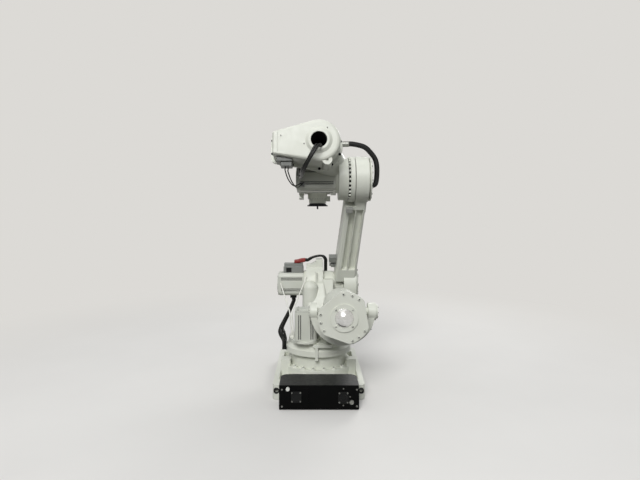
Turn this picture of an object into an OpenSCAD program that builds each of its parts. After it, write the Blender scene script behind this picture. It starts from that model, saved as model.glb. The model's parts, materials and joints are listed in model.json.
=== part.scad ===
// Six-axis industrial robot arm with a hollow upper arm and a spring balance cylinder.
// Millimetres. +X forward, +Y to the arm's left, +Z up; origin on axis 1 at the foot's underside.

/* [Pose at rest] */
// Backward lean of the lower arm
arm_lean = 28; // [22:1:34]
// Downward pitch of the upper arm
house_pitch = 8.5; // [4:0.5:12]

/* [Reach] */
// Height of axis 2 above the foot
axis2_z = 780; // [760:5:840]
// Forward offset of axis 2 from axis 1
axis2_x = 320; // [300:5:360]
// Lower arm length between axes 2 and 3
lower_len = 1075; // [1000:5:1280]
// Rise of axis 4 over axis 3
axis4_rise = 200; // [190:5:230]
// Upper arm length between axes 3 and 5
upper_len = 1142; // [1080:1:1400]
// Distance from axis 5 to the tool flange face
wrist_len = 250; // [240:5:290]

/* [Base] */
// Length of the foot casting behind axis 1
base_back = 505; // [480:5:540]
// Length of the foot casting in front of axis 1
base_front = 500; // [460:5:560]
// Width of the foot casting
base_w = 720; // [680:5:800]
// Height of the foot casting's outer wall
base_wall_h = 115; // [95:1:140]
// Thickness of the foot casting's outer wall
base_wall_t = 42; // [30:1:55]
// Thickness of the foot plate
base_plate_t = 35; // [25:1:50]
// Diameter of the fixed drum under the turntable
drum_d = 490; // [470:5:510]
// Height of the fixed drum
drum_h = 250; // [240:1:265]
// Radius of the bolted ring around the drum
ring_r = 305; // [295:1:310]
// Height of the bolted ring around the drum
ring_h = 150; // [130:1:170]
// Lengthwise spacing of the anchor holes
anchor_dx = 840; // [800:5:860]
// Crosswise spacing of the anchor holes
anchor_dy = 580; // [560:5:600]
// Diameter of the anchor holes
anchor_d = 27; // [22:1:33]

/* [Connector box] */
// Width of the black connector box
box_w = 590; // [540:5:600]
// Height of the black connector box
box_h = 180; // [160:1:200]
// Length of the black connector box
box_len = 250; // [220:1:260]
// Rear face of the connector box behind axis 1
box_rear = 700; // [680:1:720]

/* [Turntable and frame] */
// Diameter of the turntable
turn_d = 566; // [550:2:580]
// Thickness of the turntable
turn_t = 114; // [100:1:125]
// Radius of the axis 2 gear housing
gear2_r = 185; // [178:1:195]
// Right face of the axis 2 gear housing
gear2_right = 140; // [130:1:145]
// Left face of the axis 2 gear housing
gear2_left = 110; // [100:1:130]

/* [Motors] */
// Width of the axis 1 motor
motor1_d = 186; // [170:1:190]
// Length of the axis 1 motor
motor1_len = 230; // [200:1:250]
// Width of the axis 2 and axis 3 motors
motor2_d = 208; // [190:1:212]
// Length of the axis 2 motor
motor2_len = 225; // [200:1:260]
// Length of the axis 3 motor
motor3_len = 305; // [280:1:320]
// Width of the axis 4 motor
motor4_d = 150; // [130:1:160]
// Width of the flat panel on each motor side
panel_w = 76; // [60:1:84]
// Width of a cooling groove
groove_w = 9; // [6:1:11]
// Depth of a cooling groove
groove_depth = 7; // [5:1:9]

/* [Balance cylinder] */
// Distance of the trunnion axis behind axis 1
trunnion_back = 390; // [375:1:410]
// Height of the trunnion axis
trunnion_z = 660; // [640:1:680]
// Sideways offset of the cylinder to the right
balance_y = 190; // [186:1:200]
// Radius of the cylinder barrel
barrel_r = 150; // [140:1:152]
// Radius of the barrel's open mouth
mouth_r = 95; // [90:1:105]
// Radius of the three-sided end cover
cover_r = 198; // [186:1:205]
// Distance of the barrel's mouth before the trunnions
barrel_front = 255; // [245:1:265]
// Distance of the end cover behind the trunnions
cover_back = 250; // [240:1:270]
// Radius of the balance rod
rod_r = 28; // [22:1:32]
// Length of the balance rod from its eye
rod_len = 560; // [540:1:570]
// Distance of the rod pin from axis 2
pin_reach = 170; // [165:1:175]
// Forward lean at which rod, trunnion and axis 2 line up
pin_phase = 10; // [8:1:12]

/* [Lower arm] */
// Width of the lower arm's foot across
foot_y_w = 197; // [190:1:210]
// Radius of the lower arm's foot
foot_r = 200; // [195:1:210]
// Inner face of the lower arm's head
head_y = 305; // [303:1:310]
// Width of the lower arm's head
head_w = 108; // [95:1:125]
// Radius of the lower arm's head
head_r = 190; // [180:1:196]
// Depth of the lower arm beam at its foot
beam_d0 = 260; // [230:1:280]
// Depth of the lower arm beam at its head
beam_d1 = 220; // [200:1:240]
// Wall left of the lower arm's long recesses
beam_wall = 44; // [38:1:52]
// Wall right of the lower arm's long recesses
beam_lip = 20; // [16:1:26]
// Width of the ridge on the recess floor
ridge_w = 9; // [6:1:14]

/* [Upper arm] */
// Radius of the round axis 4 housing
house_r = 160; // [150:1:165]
// Rear end of the gear cover behind axis 3
cover4_back = 490; // [470:1:520]
// Front end of the arm housing before axis 3
house_front = 200; // [190:1:230]
// Rounding of the gear cover's rear edge
cover4_round = 26; // [18:1:30]
// Radius of the gear cover's round end
cover4_r = 165; // [160:1:172]
// Left end of the gear cover
cover4_left = 352; // [330:1:370]
// Height of the gear cover's left end
cover4_h = 187; // [170:1:200]
// Radius of the cable hole
passage_r = 62; // [55:1:66]
// Radius of the raised ring around the cable hole
passage_ring_r = 100; // [92:1:108]
// Radius of the forearm at its root
forearm_r = 152; // [140:1:156]
// Radius of the wrist fork
fork_r = 130; // [122:1:134]
// Half width of the wrist fork
fork_half = 198; // [190:1:206]
// Thickness of a wrist fork arm
fork_t = 56; // [50:1:60]
// Radius of the tilt housing's neck
neck_r = 105; // [98:1:108]
// Radius of the tool flange
flange_r = 110; // [104:1:114]
// Thickness of the tool flange
flange_t = 30; // [26:1:34]
// Bolt circle diameter of the tool flange
flange_pcd = 160; // [150:1:170]
// Bolt hole diameter of the tool flange
flange_hole = 13; // [10:0.5:14]
// Number of bolt holes in the tool flange
flange_count = 6; // [6:1:8]

/* [Hoses] */
// Diameter of the black arm hose
hose_d = 44; // [36:1:46]
// Diameter of a black cable
cable_d = 20; // [16:1:22]
// Diameter of a white cord
cord_d = 11; // [8:0.5:12]
// Diameter of a thin motor lead
lead_d = 9; // [7:0.5:10]

/* [Hidden] */
seat = 0.3;
gap = 6;
turn_z = drum_h + gap;
turn_top = turn_z + turn_t;
a3x = axis2_x - lower_len * sin(arm_lean);
a3z = axis2_z + lower_len * cos(arm_lean);
foot_y = gear2_right + 10;
foot_out = foot_y + foot_y_w;
head_out = head_y + head_w;
trunnion_x = -trunnion_back;
line_angle = atan2(trunnion_z - axis2_z, trunnion_x - axis2_x);
pin_local = line_angle + pin_phase;
pin_world = pin_local + arm_lean;
pin_x = axis2_x + pin_reach * cos(pin_world);
pin_z = axis2_z + pin_reach * sin(pin_world);
rod_tilt = atan2(pin_z - trunnion_z, pin_x - trunnion_x);
rod_span = norm([pin_x - trunnion_x, pin_z - trunnion_z]);
motor1_x = -195;
motor1_y = 105;
motor1_z = turn_top + 20;
motor2_y = gear2_left + 22;
motor2_end = motor2_y + motor2_len;
motor_top = axis2_z + motor2_d / 2;
cover4_split = 265;
cover4_drop = 18;
cover4_rim = 24;
foot_strip = (base_w - box_w) / 2 - 3;
foot_hole_r = 0.37 * foot_strip;
panel_half = box_w / 2;
hub_right = head_y - 5;
hub_left = 165;
hub_r = head_r - 14;
beam_top = lower_len - head_r - 14;
knot = [-50, 238, turn_top + 208];
motor3_y = -hub_left + 25;
yoke_w = 120;
yoke_r = 255;
yoke_in = 205;
fork_in = fork_half - fork_t;
tilt_half = fork_in - gap;
fork_root = upper_len - 262;
black = "#1d1e20";
paint = "#d9dacf";
grey = "#9a9b97";

// Helpers
module y_cyl(r, y0, y1) {
  translate([0, y1, 0]) rotate([90, 0, 0]) cylinder(r = r, h = y1 - y0, $fn = 64);
}

module x_cyl(r, x0, x1) {
  translate([x0, 0, 0]) rotate([0, 90, 0]) cylinder(r = r, h = x1 - x0, $fn = 64);
}

module box(x0, x1, y0, y1, z0, z1) {
  translate([x0, y0, z0]) cube([x1 - x0, y1 - y0, z1 - z0]);
}

module soft_plan(l, w, r) {
  offset(r) square([l - 2 * r, w - 2 * r], center = true);
}

module along_x(x0, h) {
  translate([x0, 0, 0]) rotate([90, 0, 90]) linear_extrude(h) children();
}

module at2() {
  translate([axis2_x, 0, axis2_z]) rotate([0, -arm_lean, 0]) children();
}

module at3() {
  translate([a3x, 0, a3z]) rotate([0, house_pitch, 0]) children();
}

module at4() {
  at3() translate([0, 0, axis4_rise]) children();
}

module at5() {
  at4() translate([upper_len, 0, 0]) rotate([0, 90 - house_pitch, 0]) children();
}

module at_balance() {
  translate([trunnion_x, -balance_y, trunnion_z]) rotate([0, -rod_tilt, 0]) children();
}

module motor_profile(w) {
  difference() {
    offset(w / 6) square(2 * w / 3, center = true);
    for (a = [0:90:270]) for (s = [-1, 1]) for (k = [0, 1])
      rotate(a) translate([w / 2, s * (panel_w / 2 + (1.8 * k + 0.5) * groove_w)])
        square([2 * groove_depth, groove_w], center = true);
  }
}

module motor_body(w, h) {
  linear_extrude(h) motor_profile(w);
  linear_extrude(16) offset(w / 6) square(2 * w / 3, center = true);
  translate([0, 0, h - 14]) linear_extrude(14) offset(w / 6) square(2 * w / 3, center = true);
}

module motor_end(w, h) {
  linear_extrude(h) offset(w / 6 - 4) square(2 * w / 3, center = true);
  translate([0, 0, h - 1]) cylinder(r = w / 2 - 26, h = 9, $fn = 48);
}

function unit(v) = v / norm(v);

function bend_at(p, i, t) =
  let (a = p[max(i - 1, 0)], b = p[i], c = p[i + 1], d = p[min(i + 2, len(p) - 1)])
  0.5 * (2 * b + (c - a) * t + (2 * a - 5 * b + 4 * c - d) * t * t
    + (3 * b - a - 3 * c + d) * t * t * t);

function route(p, n) =
  [for (i = [0:len(p) - 2]) for (k = [0:n - 1]) bend_at(p, i, k / n), p[len(p) - 1]];

function heading(q, i) = unit(q[min(i + 1, len(q) - 1)] - q[max(i - 1, 0)]);

function rings(q, d, s, up) =
  [for (i = [0:len(q) - 1])
    let (t = heading(q, i), a = unit(cross(t, up)), b = cross(t, a))
    for (j = [0:s - 1]) q[i] + d / 2 * (cos(360 * j / s) * a + sin(360 * j / s) * b)];

module hose(p, d, up, n = 3, s = 10) {
  q = route(p, n);
  m = len(q);
  sides = [for (i = [0:m - 2]) for (j = [0:s - 1])
    let (k = (j + 1) % s)
    each [[i * s + j, (i + 1) * s + k, i * s + k], [i * s + j, (i + 1) * s + j, (i + 1) * s + k]]];
  ends = [for (j = [1:s - 2]) each [[0, j, j + 1], [(m - 1) * s, (m - 1) * s + j + 1, (m - 1) * s + j]]];
  polyhedron(points = rings(q, d, s, up), faces = concat(sides, ends));
}

// Foot casting: plate, outer wall, corner pads, drum and radial ribs
module base_casting() {
  wall_in = base_w / 2 - base_wall_t;
  notch = base_w / 2 - foot_strip;
  notch_x = -box_rear + box_len + seat;
  color(paint) difference() {
    union() {
      difference() {
        union() {
          translate([(base_front - base_back) / 2, 0, 0])
            linear_extrude(base_wall_h) soft_plan(base_front + base_back, base_w, 36);
          cylinder(r = ring_r, h = ring_h, $fn = 96);
        }
        difference() {
          box(notch_x + base_wall_t, base_front - base_wall_t, -wall_in, wall_in,
            base_plate_t, base_wall_h + 1);
          cylinder(r = ring_r, h = drum_h, $fn = 96);
        }
      }
      cylinder(d = drum_d, h = drum_h, $fn = 96);
      for (sx = [-1, 1]) for (sy = [-1, 1])
        translate([sx * anchor_dx / 2, sy * anchor_dy / 2, 0])
          cylinder(d = 3.6 * anchor_d, h = base_wall_h, $fn = 48);
      for (a = [22.5:45:337.5]) rotate(a) base_rib();
      for (s = [-1, 1]) base_lug(s);
    }
    box(-base_back - 1, notch_x, -notch, notch, -1, base_wall_h + 1);
    for (sx = [-1, 1]) for (sy = [-1, 1])
      translate([sx * anchor_dx / 2, sy * anchor_dy / 2, -1])
        cylinder(d = anchor_d, h = base_wall_h + 2, $fn = 48);
    for (s = [-1, 1]) translate([0, s * (notch + base_w / 2) / 2, base_wall_h - 46])
      x_cyl(foot_hole_r, -base_back - 1, -base_back + 34);
  }
}

module base_lug(s) {
  translate([-120, s * (drum_d / 2 + 32), base_plate_t - 1]) linear_extrude(ring_h + 58 - base_plate_t)
    soft_plan(96, 82, 10);
}

module base_rib() {
  reach = base_w / 2 - base_wall_t / 2;
  rotate([90, 0, 0]) translate([0, 0, -13]) linear_extrude(26)
    polygon([[ring_r - 20, 5], [reach, 5], [reach, base_wall_h - 8], [ring_r - 20, ring_h - 12]]);
}

// Black connector box at the rear of the foot
module connector_box() {
  color(black) translate([-box_rear + 12, 0, 4]) linear_extrude(box_h - 4)
    hull() {
      translate([4, 0]) square([8, box_w], center = true);
      for (s = [-1, 1]) translate([box_len - 12 - 60, s * (box_w / 2 - 60)]) circle(60, $fn = 48);
    }
}

module connector_panel() {
  color(black) {
    along_x(-box_rear, 12 - seat) translate([0, box_h / 2 + 2]) soft_plan(box_w, box_h - 4, 8);
    along_x(-box_rear - 5, 6) translate([panel_half - 198, box_h / 2]) soft_plan(40, box_h - 38, 4);
    along_x(-box_rear - 5, 6) translate([panel_half - 66, box_h / 2 - 8]) soft_plan(38, box_h - 74, 4);
  }
}

module square_connector() {
  color(black) along_x(-box_rear - 8, 8 - seat) difference() {
    translate([panel_half - 127, 97]) soft_plan(76, 80, 6);
    translate([panel_half - 127, 97]) soft_plan(44, 44, 4);
  }
  color(black) along_x(-box_rear - 3, 3 - seat) translate([panel_half - 127, 97]) soft_plan(60, 60, 4);
}

module round_connector() {
  color(black) translate([0, 115 - panel_half, 92]) difference() {
    union() {
      along_x(-box_rear - 7, 7 - seat) soft_plan(76, 84, 8);
      x_cyl(27, -box_rear - 18, -box_rear - 6);
    }
    x_cyl(21, -box_rear - 19, -box_rear - 9);
  }
}

module panel_gland() {
  color(grey) translate([0, 55 - panel_half, 60]) difference() {
    x_cyl(16, -box_rear - 12, -box_rear - seat);
    x_cyl(11, -box_rear - 13, -box_rear - 5);
  }
}

module panel_plug() {
  color(paint) translate([0, panel_half - 65, 156]) x_cyl(14, -box_rear - 12, -box_rear - seat);
}

module foot_plugs() {
  y = (base_w - foot_strip) / 2;
  color(black) for (s = [-1, 1]) translate([0, s * y, base_wall_h - 46]) difference() {
    x_cyl(0.985 * foot_hole_r, -base_back - 3, -base_back + 14);
    x_cyl(0.6 * foot_hole_r, -base_back - 4, -base_back + 15);
  }
}

// Turntable and frame
module turntable() {
  r = turn_d / 2;
  color(paint) {
    rotate_extrude($fn = 96) polygon([
      [0, drum_h + seat], [200, drum_h + seat], [200, turn_z], [r, turn_z], [r, turn_z + 46],
      [r - 26, turn_z + 72], [r - 26, turn_top - seat], [0, turn_top - seat]]);
    box(-r - 11, -r + 25, 4, 29, turn_z - 24, turn_z + 88);
    box(-r - 11, -r + 60, -112, 44, turn_z + 82, turn_top - 6);
  }
}

module frame_casting() {
  color(paint) difference() {
    union() {
      hull() {
        translate([100, -14, turn_top]) linear_extrude(20) soft_plan(330, 242, 60);
        translate([axis2_x, 0, axis2_z]) y_cyl(gear2_r - 10, -40, gear2_left - 12);
      }
      hull() {
        translate([150, -90, turn_top]) linear_extrude(20) soft_plan(200, 90, 30);
        box(150, axis2_x, -gear2_right + 3, -42, axis2_z - 90, axis2_z + 55);
      }
      translate([axis2_x, 0, axis2_z]) {
        y_cyl(gear2_r, -44, gear2_left);
        y_cyl(115, -gear2_right, -40);
        y_cyl(motor2_d / 2 + 14, gear2_left - 1, motor2_y - seat);
      }
      translate([130, 70, axis2_z - 195]) dome(72, 190);
      frame_ear();
      hull() {
        translate([motor1_x, motor1_y, turn_top]) cylinder(r = motor1_d / 2 + 16, h = 20 - seat, $fn = 64);
        box(-70, -50, -30, 170, turn_top, turn_top + 90);
      }
    }
    translate([motor1_x, motor1_y, motor1_z - seat])
      linear_extrude(400) soft_plan(motor1_d + 24, motor1_d + 24, 40);
  }
}

module dome(r, h) {
  cylinder(r = r, h = h, $fn = 64);
  translate([0, 0, h]) rotate_extrude($fn = 64) intersection() {
    translate([0, -r / 4]) circle(r, $fn = 64);
    translate([0, -1]) square([r - 4, r]);
  }
}

module frame_ear() {
  top = axis2_z + 230;
  along_x(axis2_x - 95, 150)
    polygon([[-42, axis2_z + 60], [-42, top], [20, top], [20, top - 26], [103, top - 66],
      [103, axis2_z + 60]]);
  box(axis2_x - 205, axis2_x - 60, 12, 24, axis2_z - 190, axis2_z + 120);
}

module balance_yoke() {
  color(paint) difference() {
    union() {
      translate([0, -balance_y, trunnion_z]) along_x(trunnion_x - yoke_w / 2, yoke_w)
        difference() {
          circle(yoke_r, $fn = 96);
          circle(yoke_in, $fn = 96);
          translate([-2 * yoke_r, 0]) square(4 * yoke_r);
        }
      translate([trunnion_x, -balance_y, trunnion_z]) {
        y_cyl(70, -yoke_r - 8, -yoke_in + 4);
        y_cyl(70, yoke_in - 4, yoke_r + 1);
      }
      hull() {
        box(trunnion_x - yoke_w / 2, trunnion_x + yoke_w / 2, -balance_y - 90, -balance_y + 90,
          trunnion_z - yoke_r + 12, trunnion_z - yoke_in - 12);
        box(-215, -110, -225, -60, turn_top, turn_top + 60);
      }
    }
    translate([trunnion_x, -balance_y, trunnion_z]) y_cyl(30 + seat, -yoke_r - 9, yoke_r + 3);
    translate([0, -balance_y, trunnion_z]) x_cyl(yoke_in - 12, -600, -100);
  }
}

module axis1_motor() {
  color(paint) translate([motor1_x, motor1_y, motor1_z]) motor_body(motor1_d, motor1_len);
}

module axis1_motor_cap() {
  color(grey) translate([motor1_x, motor1_y, motor1_z + motor1_len + seat]) motor_end(motor1_d, 20);
}

module axis2_motor() {
  color(paint) translate([axis2_x, motor2_y, axis2_z]) rotate([-90, 0, 0]) motor_body(motor2_d, motor2_len);
}

module axis2_motor_cap() {
  color(grey) translate([axis2_x, motor2_end + seat, axis2_z]) rotate([-90, 0, 0]) motor_end(motor2_d, 14);
}

module motor_terminal_box() {
  color(grey) difference() {
    union() {
      translate([axis2_x, motor2_y + 98, motor_top + seat]) linear_extrude(54) soft_plan(120, 186, 8);
      translate([axis2_x + 8, motor2_y + 98, motor_top + 50]) linear_extrude(34) soft_plan(96, 176, 10);
    }
    box(axis2_x - 90, axis2_x - 44, motor2_y + 116, motor2_y + 170, motor_top + 4, motor_top + 48);
  }
}

module terminal_cap() {
  z = motor_top + 84 + seat;
  color("#8d2a26") {
    translate([axis2_x, motor2_y + 54, z]) linear_extrude(24) soft_plan(66, 76, 8);
    hull() {
      translate([axis2_x, motor2_y + 34, z + 14]) linear_extrude(16) soft_plan(48, 30, 6);
      translate([axis2_x, motor2_y - 4, z + 22]) linear_extrude(16) soft_plan(36, 16, 5);
    }
  }
}

module trunnion_covers() {
  color(paint) translate([trunnion_x, -balance_y, trunnion_z]) {
    y_cyl(56, -yoke_r - 24, -yoke_r - 8 - seat);
    y_cyl(56, yoke_r + 1 + seat, yoke_r + 8);
  }
}

module harness_clamps() {
  low = axis2_z - motor2_d / 2;
  color(black) {
    box(axis2_x - 50, axis2_x + 30, motor2_y + 70, motor2_y + 128, low - 28, low - seat);
    difference() {
      box(-75, 15, 0, turn_d / 2 + 30, turn_z + 8, turn_z + 30);
      translate([0, 0, turn_z]) cylinder(r = turn_d / 2 + seat, h = turn_t, $fn = 96);
    }
  }
}

module frame_harness() {
  top = axis2_z - motor2_d / 2 - 28 - seat;
  low = turn_z + 30 + seat;
  y = turn_d / 2 + 14;
  color(black) for (i = [0, 1]) {
    x = axis2_x + 8 - 32 * i;
    hose([[x, motor2_y + 98, top], [x, motor2_y + 98, top - 16], [x, motor2_y + 98, top - 36],
      [axis2_x - 60 - 44 * i, motor2_y + 140, top - 130], [axis2_x - 200 - 46 * i, y + 32, top - 230],
      [40 - 46 * i, y + 24, low + 100], [-7 - 45 * i, y, low + 54], [-7 - 45 * i, y, low + 26],
      [-7 - 45 * i, y, low]], cable_d, [1, 0.3, 0]);
  }
}

module top_harness() {
  z = motor_top + 84 + 30;
  ear = axis2_z + 230;
  start = motor2_y - 12 - seat;
  color(black) hose([[axis2_x, start, z], [axis2_x, start - 10, z], [axis2_x, start - 24, z],
    [axis2_x, 60, (z + ear + 30) / 2], [axis2_x, 10, ear + 24], [axis2_x, -42, ear + 26],
    [axis2_x, -68, ear - 4], [axis2_x, -70, ear - 40], [axis2_x, -70, ear - 80],
    [axis2_x, -70, axis2_z + 115 + seat]], 1.15 * cable_d, [1, 0, 0.1]);
}

function cord_foot(s) = [
  for (p = [[knot, 5], [[-66, 232, turn_top + 120], 4], [[-80, 225, turn_top + 56], 1],
    [[-80, 225, turn_top + 32], 1], [[-80, 225, turn_top + 12 + seat], 1]])
    p[0] + [0, s * (cord_d / 2 + p[1]), 0]];

function cord_points(top, s) =
  let (foot = cord_foot(s))
  concat([for (k = [0:0.25:0.75]) top + k * (foot[0] - top)], foot);

module frame_cords() {
  motor_side = axis2_x - motor2_d / 2 - seat;
  tie_z = 88;
  rear = axis2_x - sqrt(pow(gear2_r + seat + 6, 2) - pow(tie_z, 2));
  color("#e9e9e2") {
    box(motor_side - 14, motor_side, motor2_end - 22, motor2_end - 6, axis2_z - 4, axis2_z + 14);
    box(-90, -70, 210, 240, turn_top, turn_top + 12);
    hose(cord_points([motor_side - 18.4, motor2_end - 14, axis2_z + 5], 1), cord_d, [0, 1, 0.2], 3, 8);
    hose(cord_points([rear - 1, gear2_left - 6, axis2_z + tie_z], -1), cord_d, [0, 1, 0.2], 3, 8);
  }
}

// Balance cylinder, its rod and trunnions
module balance_barrel() {
  color(paint) at_balance() {
    difference() {
      x_cyl(barrel_r, -cover_back + 25, barrel_front);
      x_cyl(mouth_r, -cover_back + 60, barrel_front + 1);
    }
    y_cyl(30, -yoke_r + 2, -barrel_r + 8);
    y_cyl(30, barrel_r - 8, yoke_r - 2);
  }
}

module balance_cover() {
  color(paint) at_balance() along_x(-cover_back, 25 - seat) difference() {
    circle(cover_r, $fn = 96);
    for (a = [10, 130, 250])
      rotate(180 - a) translate([cover_r * 0.86, -cover_r]) square(2 * cover_r);
  }
}

module balance_cap() {
  color("#c9cacb") at_balance() translate([-cover_back - seat, 0, 0]) rotate([0, -90, 0]) {
    cylinder(r = 105, h = 8, $fn = 64);
    rotate_extrude($fn = 64) intersection() {
      translate([0, 8 - 52]) circle(88, $fn = 64);
      translate([0, 7]) square([71, 60]);
    }
  }
}

module balance_rod() {
  color("#b9bcbe") at_balance() difference() {
    union() {
      x_cyl(rod_r, rod_span - rod_len, rod_span - 20);
      translate([rod_span, 0, 0]) y_cyl(44, -30, 30);
    }
    translate([rod_span, 0, 0]) y_cyl(22 + seat, -31, 31);
  }
}

// Lower arm
module lower_arm_casting() {
  color(paint) difference() {
    union() {
      at2() {
        y_cyl(foot_r, -foot_out, -foot_y - 85);
        y_cyl(115, -foot_y - 86, -foot_y);
        y_cyl(105, -foot_y, -gear2_right - seat);
        translate([0, 0, lower_len]) y_cyl(head_r, -head_out, -head_y);
      }
      at2() hull() {
        beam_slice(110, 1);
        beam_slice(beam_top - 1, 1);
      }
      at2() hull() {
        beam_head(beam_top - 60, beam_out(beam_top));
        beam_head(lower_len - 120, head_out - 2);
      }
    }
    at2() for (s = [-1, 1]) for (half = [0, 1]) hull() {
      beam_pocket(s, half, 235);
      beam_pocket(s, half, beam_top - 40);
    }
    at2() translate([62, 0, beam_top - 200]) {
      y_cyl(12, -beam_in(beam_top - 200) - 30, -beam_in(beam_top - 200) + 20);
      translate([0, 0, 60]) y_cyl(12, -beam_in(beam_top - 140) - 30, -beam_in(beam_top - 140) + 20);
      box(-12, 12, -beam_in(beam_top - 170) - 26, -beam_in(beam_top - 170) + 20, 0, 60);
    }
    translate([pin_x, 0, pin_z]) y_cyl(22 + seat, -foot_y - 150, -foot_y);
  }
}

function beam_part(z) = (z - 110) / (beam_top - 110);

function beam_half(z) = (beam_d0 + (beam_d1 - beam_d0) * beam_part(z)) / 2;

function beam_in(z) = foot_y + 2 + 74 * beam_part(z);

function beam_out(z) = foot_out - 8 + 62 * beam_part(z);

module beam_slice(z, h) {
  translate([0, -(beam_out(z) + beam_in(z)) / 2, z])
    linear_extrude(h) soft_plan(2 * beam_half(z), beam_out(z) - beam_in(z), 22);
}

module beam_head(z, y_out) {
  y_in = head_y + 2;
  translate([0, -(y_out + y_in) / 2, z]) linear_extrude(20) soft_plan(beam_d1, y_out - y_in, 22);
}

module beam_pocket(s, half, z) {
  y0 = beam_in(z) + beam_wall;
  y1 = beam_out(z) - beam_lip;
  mid = y0 + 0.46 * (y1 - y0);
  deep = half == 0 ? 42 : 34;
  from = half == 0 ? y0 : mid + ridge_w / 2;
  to = half == 0 ? mid - ridge_w / 2 : y1;
  translate([s * (beam_half(z) - deep / 2 + 20), -(from + to) / 2, z])
    linear_extrude(10) square([deep + 40, to - from], center = true);
}

module rod_pin() {
  color(grey) translate([pin_x, 0, pin_z]) y_cyl(22, -foot_y - 149, -foot_y - 4);
}

module foot_cover() {
  color(paint) at2() {
    y_cyl(foot_r - 28, -foot_out - 14, -foot_out - seat);
    y_cyl(foot_r - 90, -foot_out - 24, -foot_out - 13);
  }
}

module head_cover() {
  color(paint) at2() translate([0, 0, lower_len]) difference() {
    union() {
      y_cyl(head_r - 34, -head_out - 12, -head_out - seat);
      y_cyl(head_r - 8, -head_out - 22, -head_out - 11);
    }
    rotate([0, arm_lean, 0]) translate([0, 0, -50]) y_cyl(31, -head_out - 23, -head_out);
  }
}

module arm_gland() {
  color(black) translate([a3x, 0, a3z - 50]) difference() {
    y_cyl(30.5, -head_out - 28, -head_out - seat);
    y_cyl(hose_d / 2 + seat, -head_out - 29, -head_out - 8);
  }
}

module arm_bumper() {
  low = lower_len - 236;
  color(grey) at2() translate([-beam_half(low) - 20 - seat, -beam_in(low) - 36, low - 4])
    linear_extrude(beam_top - low + 4) soft_plan(40, 56, 5);
}

module arm_clamps() {
  color(grey) at2() {
    difference() {
      box(-28, 28, -beam_in(300), -100, 250, 304);
      arm_clear(240, 320);
    }
    difference() {
      union() {
        box(-22, 22, -beam_in(300), -118, 196, 226);
        translate([0, 0, 211]) y_cyl(13, -119, -104);
      }
      arm_clear(180, 240);
    }
  }
}

module arm_clear(z0, z1) {
  hull() for (z = [z0, z1])
    translate([0, -beam_in(z) - 50 + seat, z]) cube([200, 100, 0.1], center = true);
}

// Upper arm
module arm_housing() {
  color(paint) difference() {
    union() {
      at3() y_cyl(hub_r, -hub_right + 36, -hub_left);
      at3() y_cyl(head_r, -hub_right, -hub_right + 37);
      at3() y_cyl(120, -head_y + seat, -hub_right + 1);
      at4() x_cyl(house_r, -cover4_split, house_front);
      at3() house_web();
      at3() y_cyl(motor2_d / 2 + 12, -hub_left - 1, motor3_y - seat);
    }
    at3() translate([0, motor3_y - seat, 0]) rotate([-90, 0, 0])
      linear_extrude(2 * motor3_len) soft_plan(motor2_d + 2 * gap, motor2_d + 2 * gap, 34);
  }
}

module house_web() {
  hull() {
    translate([0, 0, axis4_rise]) x_cyl(house_r - 4, -180, 150);
    translate([0, 0, 70]) y_cyl(110, -hub_left - 60, -hub_left - 20);
  }
}

module gear_cover() {
  color(paint) at4() difference() {
    union() {
      along_x(-cover4_back + cover4_round, cover4_back - cover4_round - cover4_split - seat)
        gear_outline(0);
      hull() for (a = [0:30:90])
        along_x(-cover4_back + cover4_round * (1 - sin(a)), 1) gear_outline(-cover4_round * (1 - cos(a)));
      along_x(-cover4_split - 30, 30 - seat) gear_outline(cover4_rim);
      translate([-cover4_back - 16, 0, 0]) rotate([0, 90, 0])
        cylinder(r1 = passage_ring_r - 20, r2 = passage_ring_r + 4, h = 17, $fn = 64);
      translate([0, -62, -150]) x_cyl(38, -cover4_back + 12, -cover4_split - 20);
    }
    x_cyl(passage_r, -cover4_back - 17, -cover4_split - 42);
    translate([0, -62, -150]) x_cyl(9, -cover4_back + 11, -cover4_back + 30);
    box(-cover4_back - 1, -cover4_back + 5, cover4_left - 43, cover4_left - 40, -200, 200);
  }
}

module gear_outline(more) {
  hull() {
    circle(cover4_r + more, $fn = 64);
    for (s = [-1, 1])
      translate([cover4_left - 24, s * (cover4_h / 2 - 24) - cover4_drop]) circle(24 + more, $fn = 32);
  }
}

module axis3_motor() {
  color(paint) at3() translate([0, motor3_y, 0]) rotate([-90, 0, 0]) motor_body(motor2_d, motor3_len);
}

module axis3_motor_cap() {
  color(grey) at3() translate([0, motor3_y + motor3_len + seat, 0]) rotate([-90, 0, 0])
    motor_end(motor2_d, 14);
}

module axis4_motor() {
  color(paint) at4() translate([-cover4_split + seat, cover4_left - 96, -cover4_drop]) rotate([90, 0, 90])
    motor_body(motor4_d, 250);
}

module axis4_motor_cap() {
  color(grey) at4() translate([-cover4_split + 250 + 2 * seat, cover4_left - 96, -cover4_drop])
    rotate([90, 0, 90]) motor_end(motor4_d, 18);
}

module house_connector() {
  color(grey) at4() difference() {
    translate([-cover4_back + 105, cover4_left - 92, -cover4_drop - cover4_h / 2 - 40]) {
      linear_extrude(100) soft_plan(130, 124, 8);
      translate([0, -14, -34]) linear_extrude(40) soft_plan(100, 88, 8);
    }
    along_x(-cover4_back + cover4_round, cover4_back) gear_outline(seat);
    along_x(-cover4_back, cover4_back) gear_outline(seat);
    along_x(-cover4_split - 30 - seat, cover4_back) gear_outline(cover4_rim + seat);
  }
}

module hose_fitting() {
  color(grey) at4() difference() {
    translate([-60, 0, 90]) y_cyl(30, -188, -house_r * 0.55);
    x_cyl(house_r + seat, -200, 150);
    translate([0, 0, seat - axis4_rise]) house_web();
    translate([-60, 0, 90]) y_cyl(hose_d / 2 + seat, -189, -176);
  }
}

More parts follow.
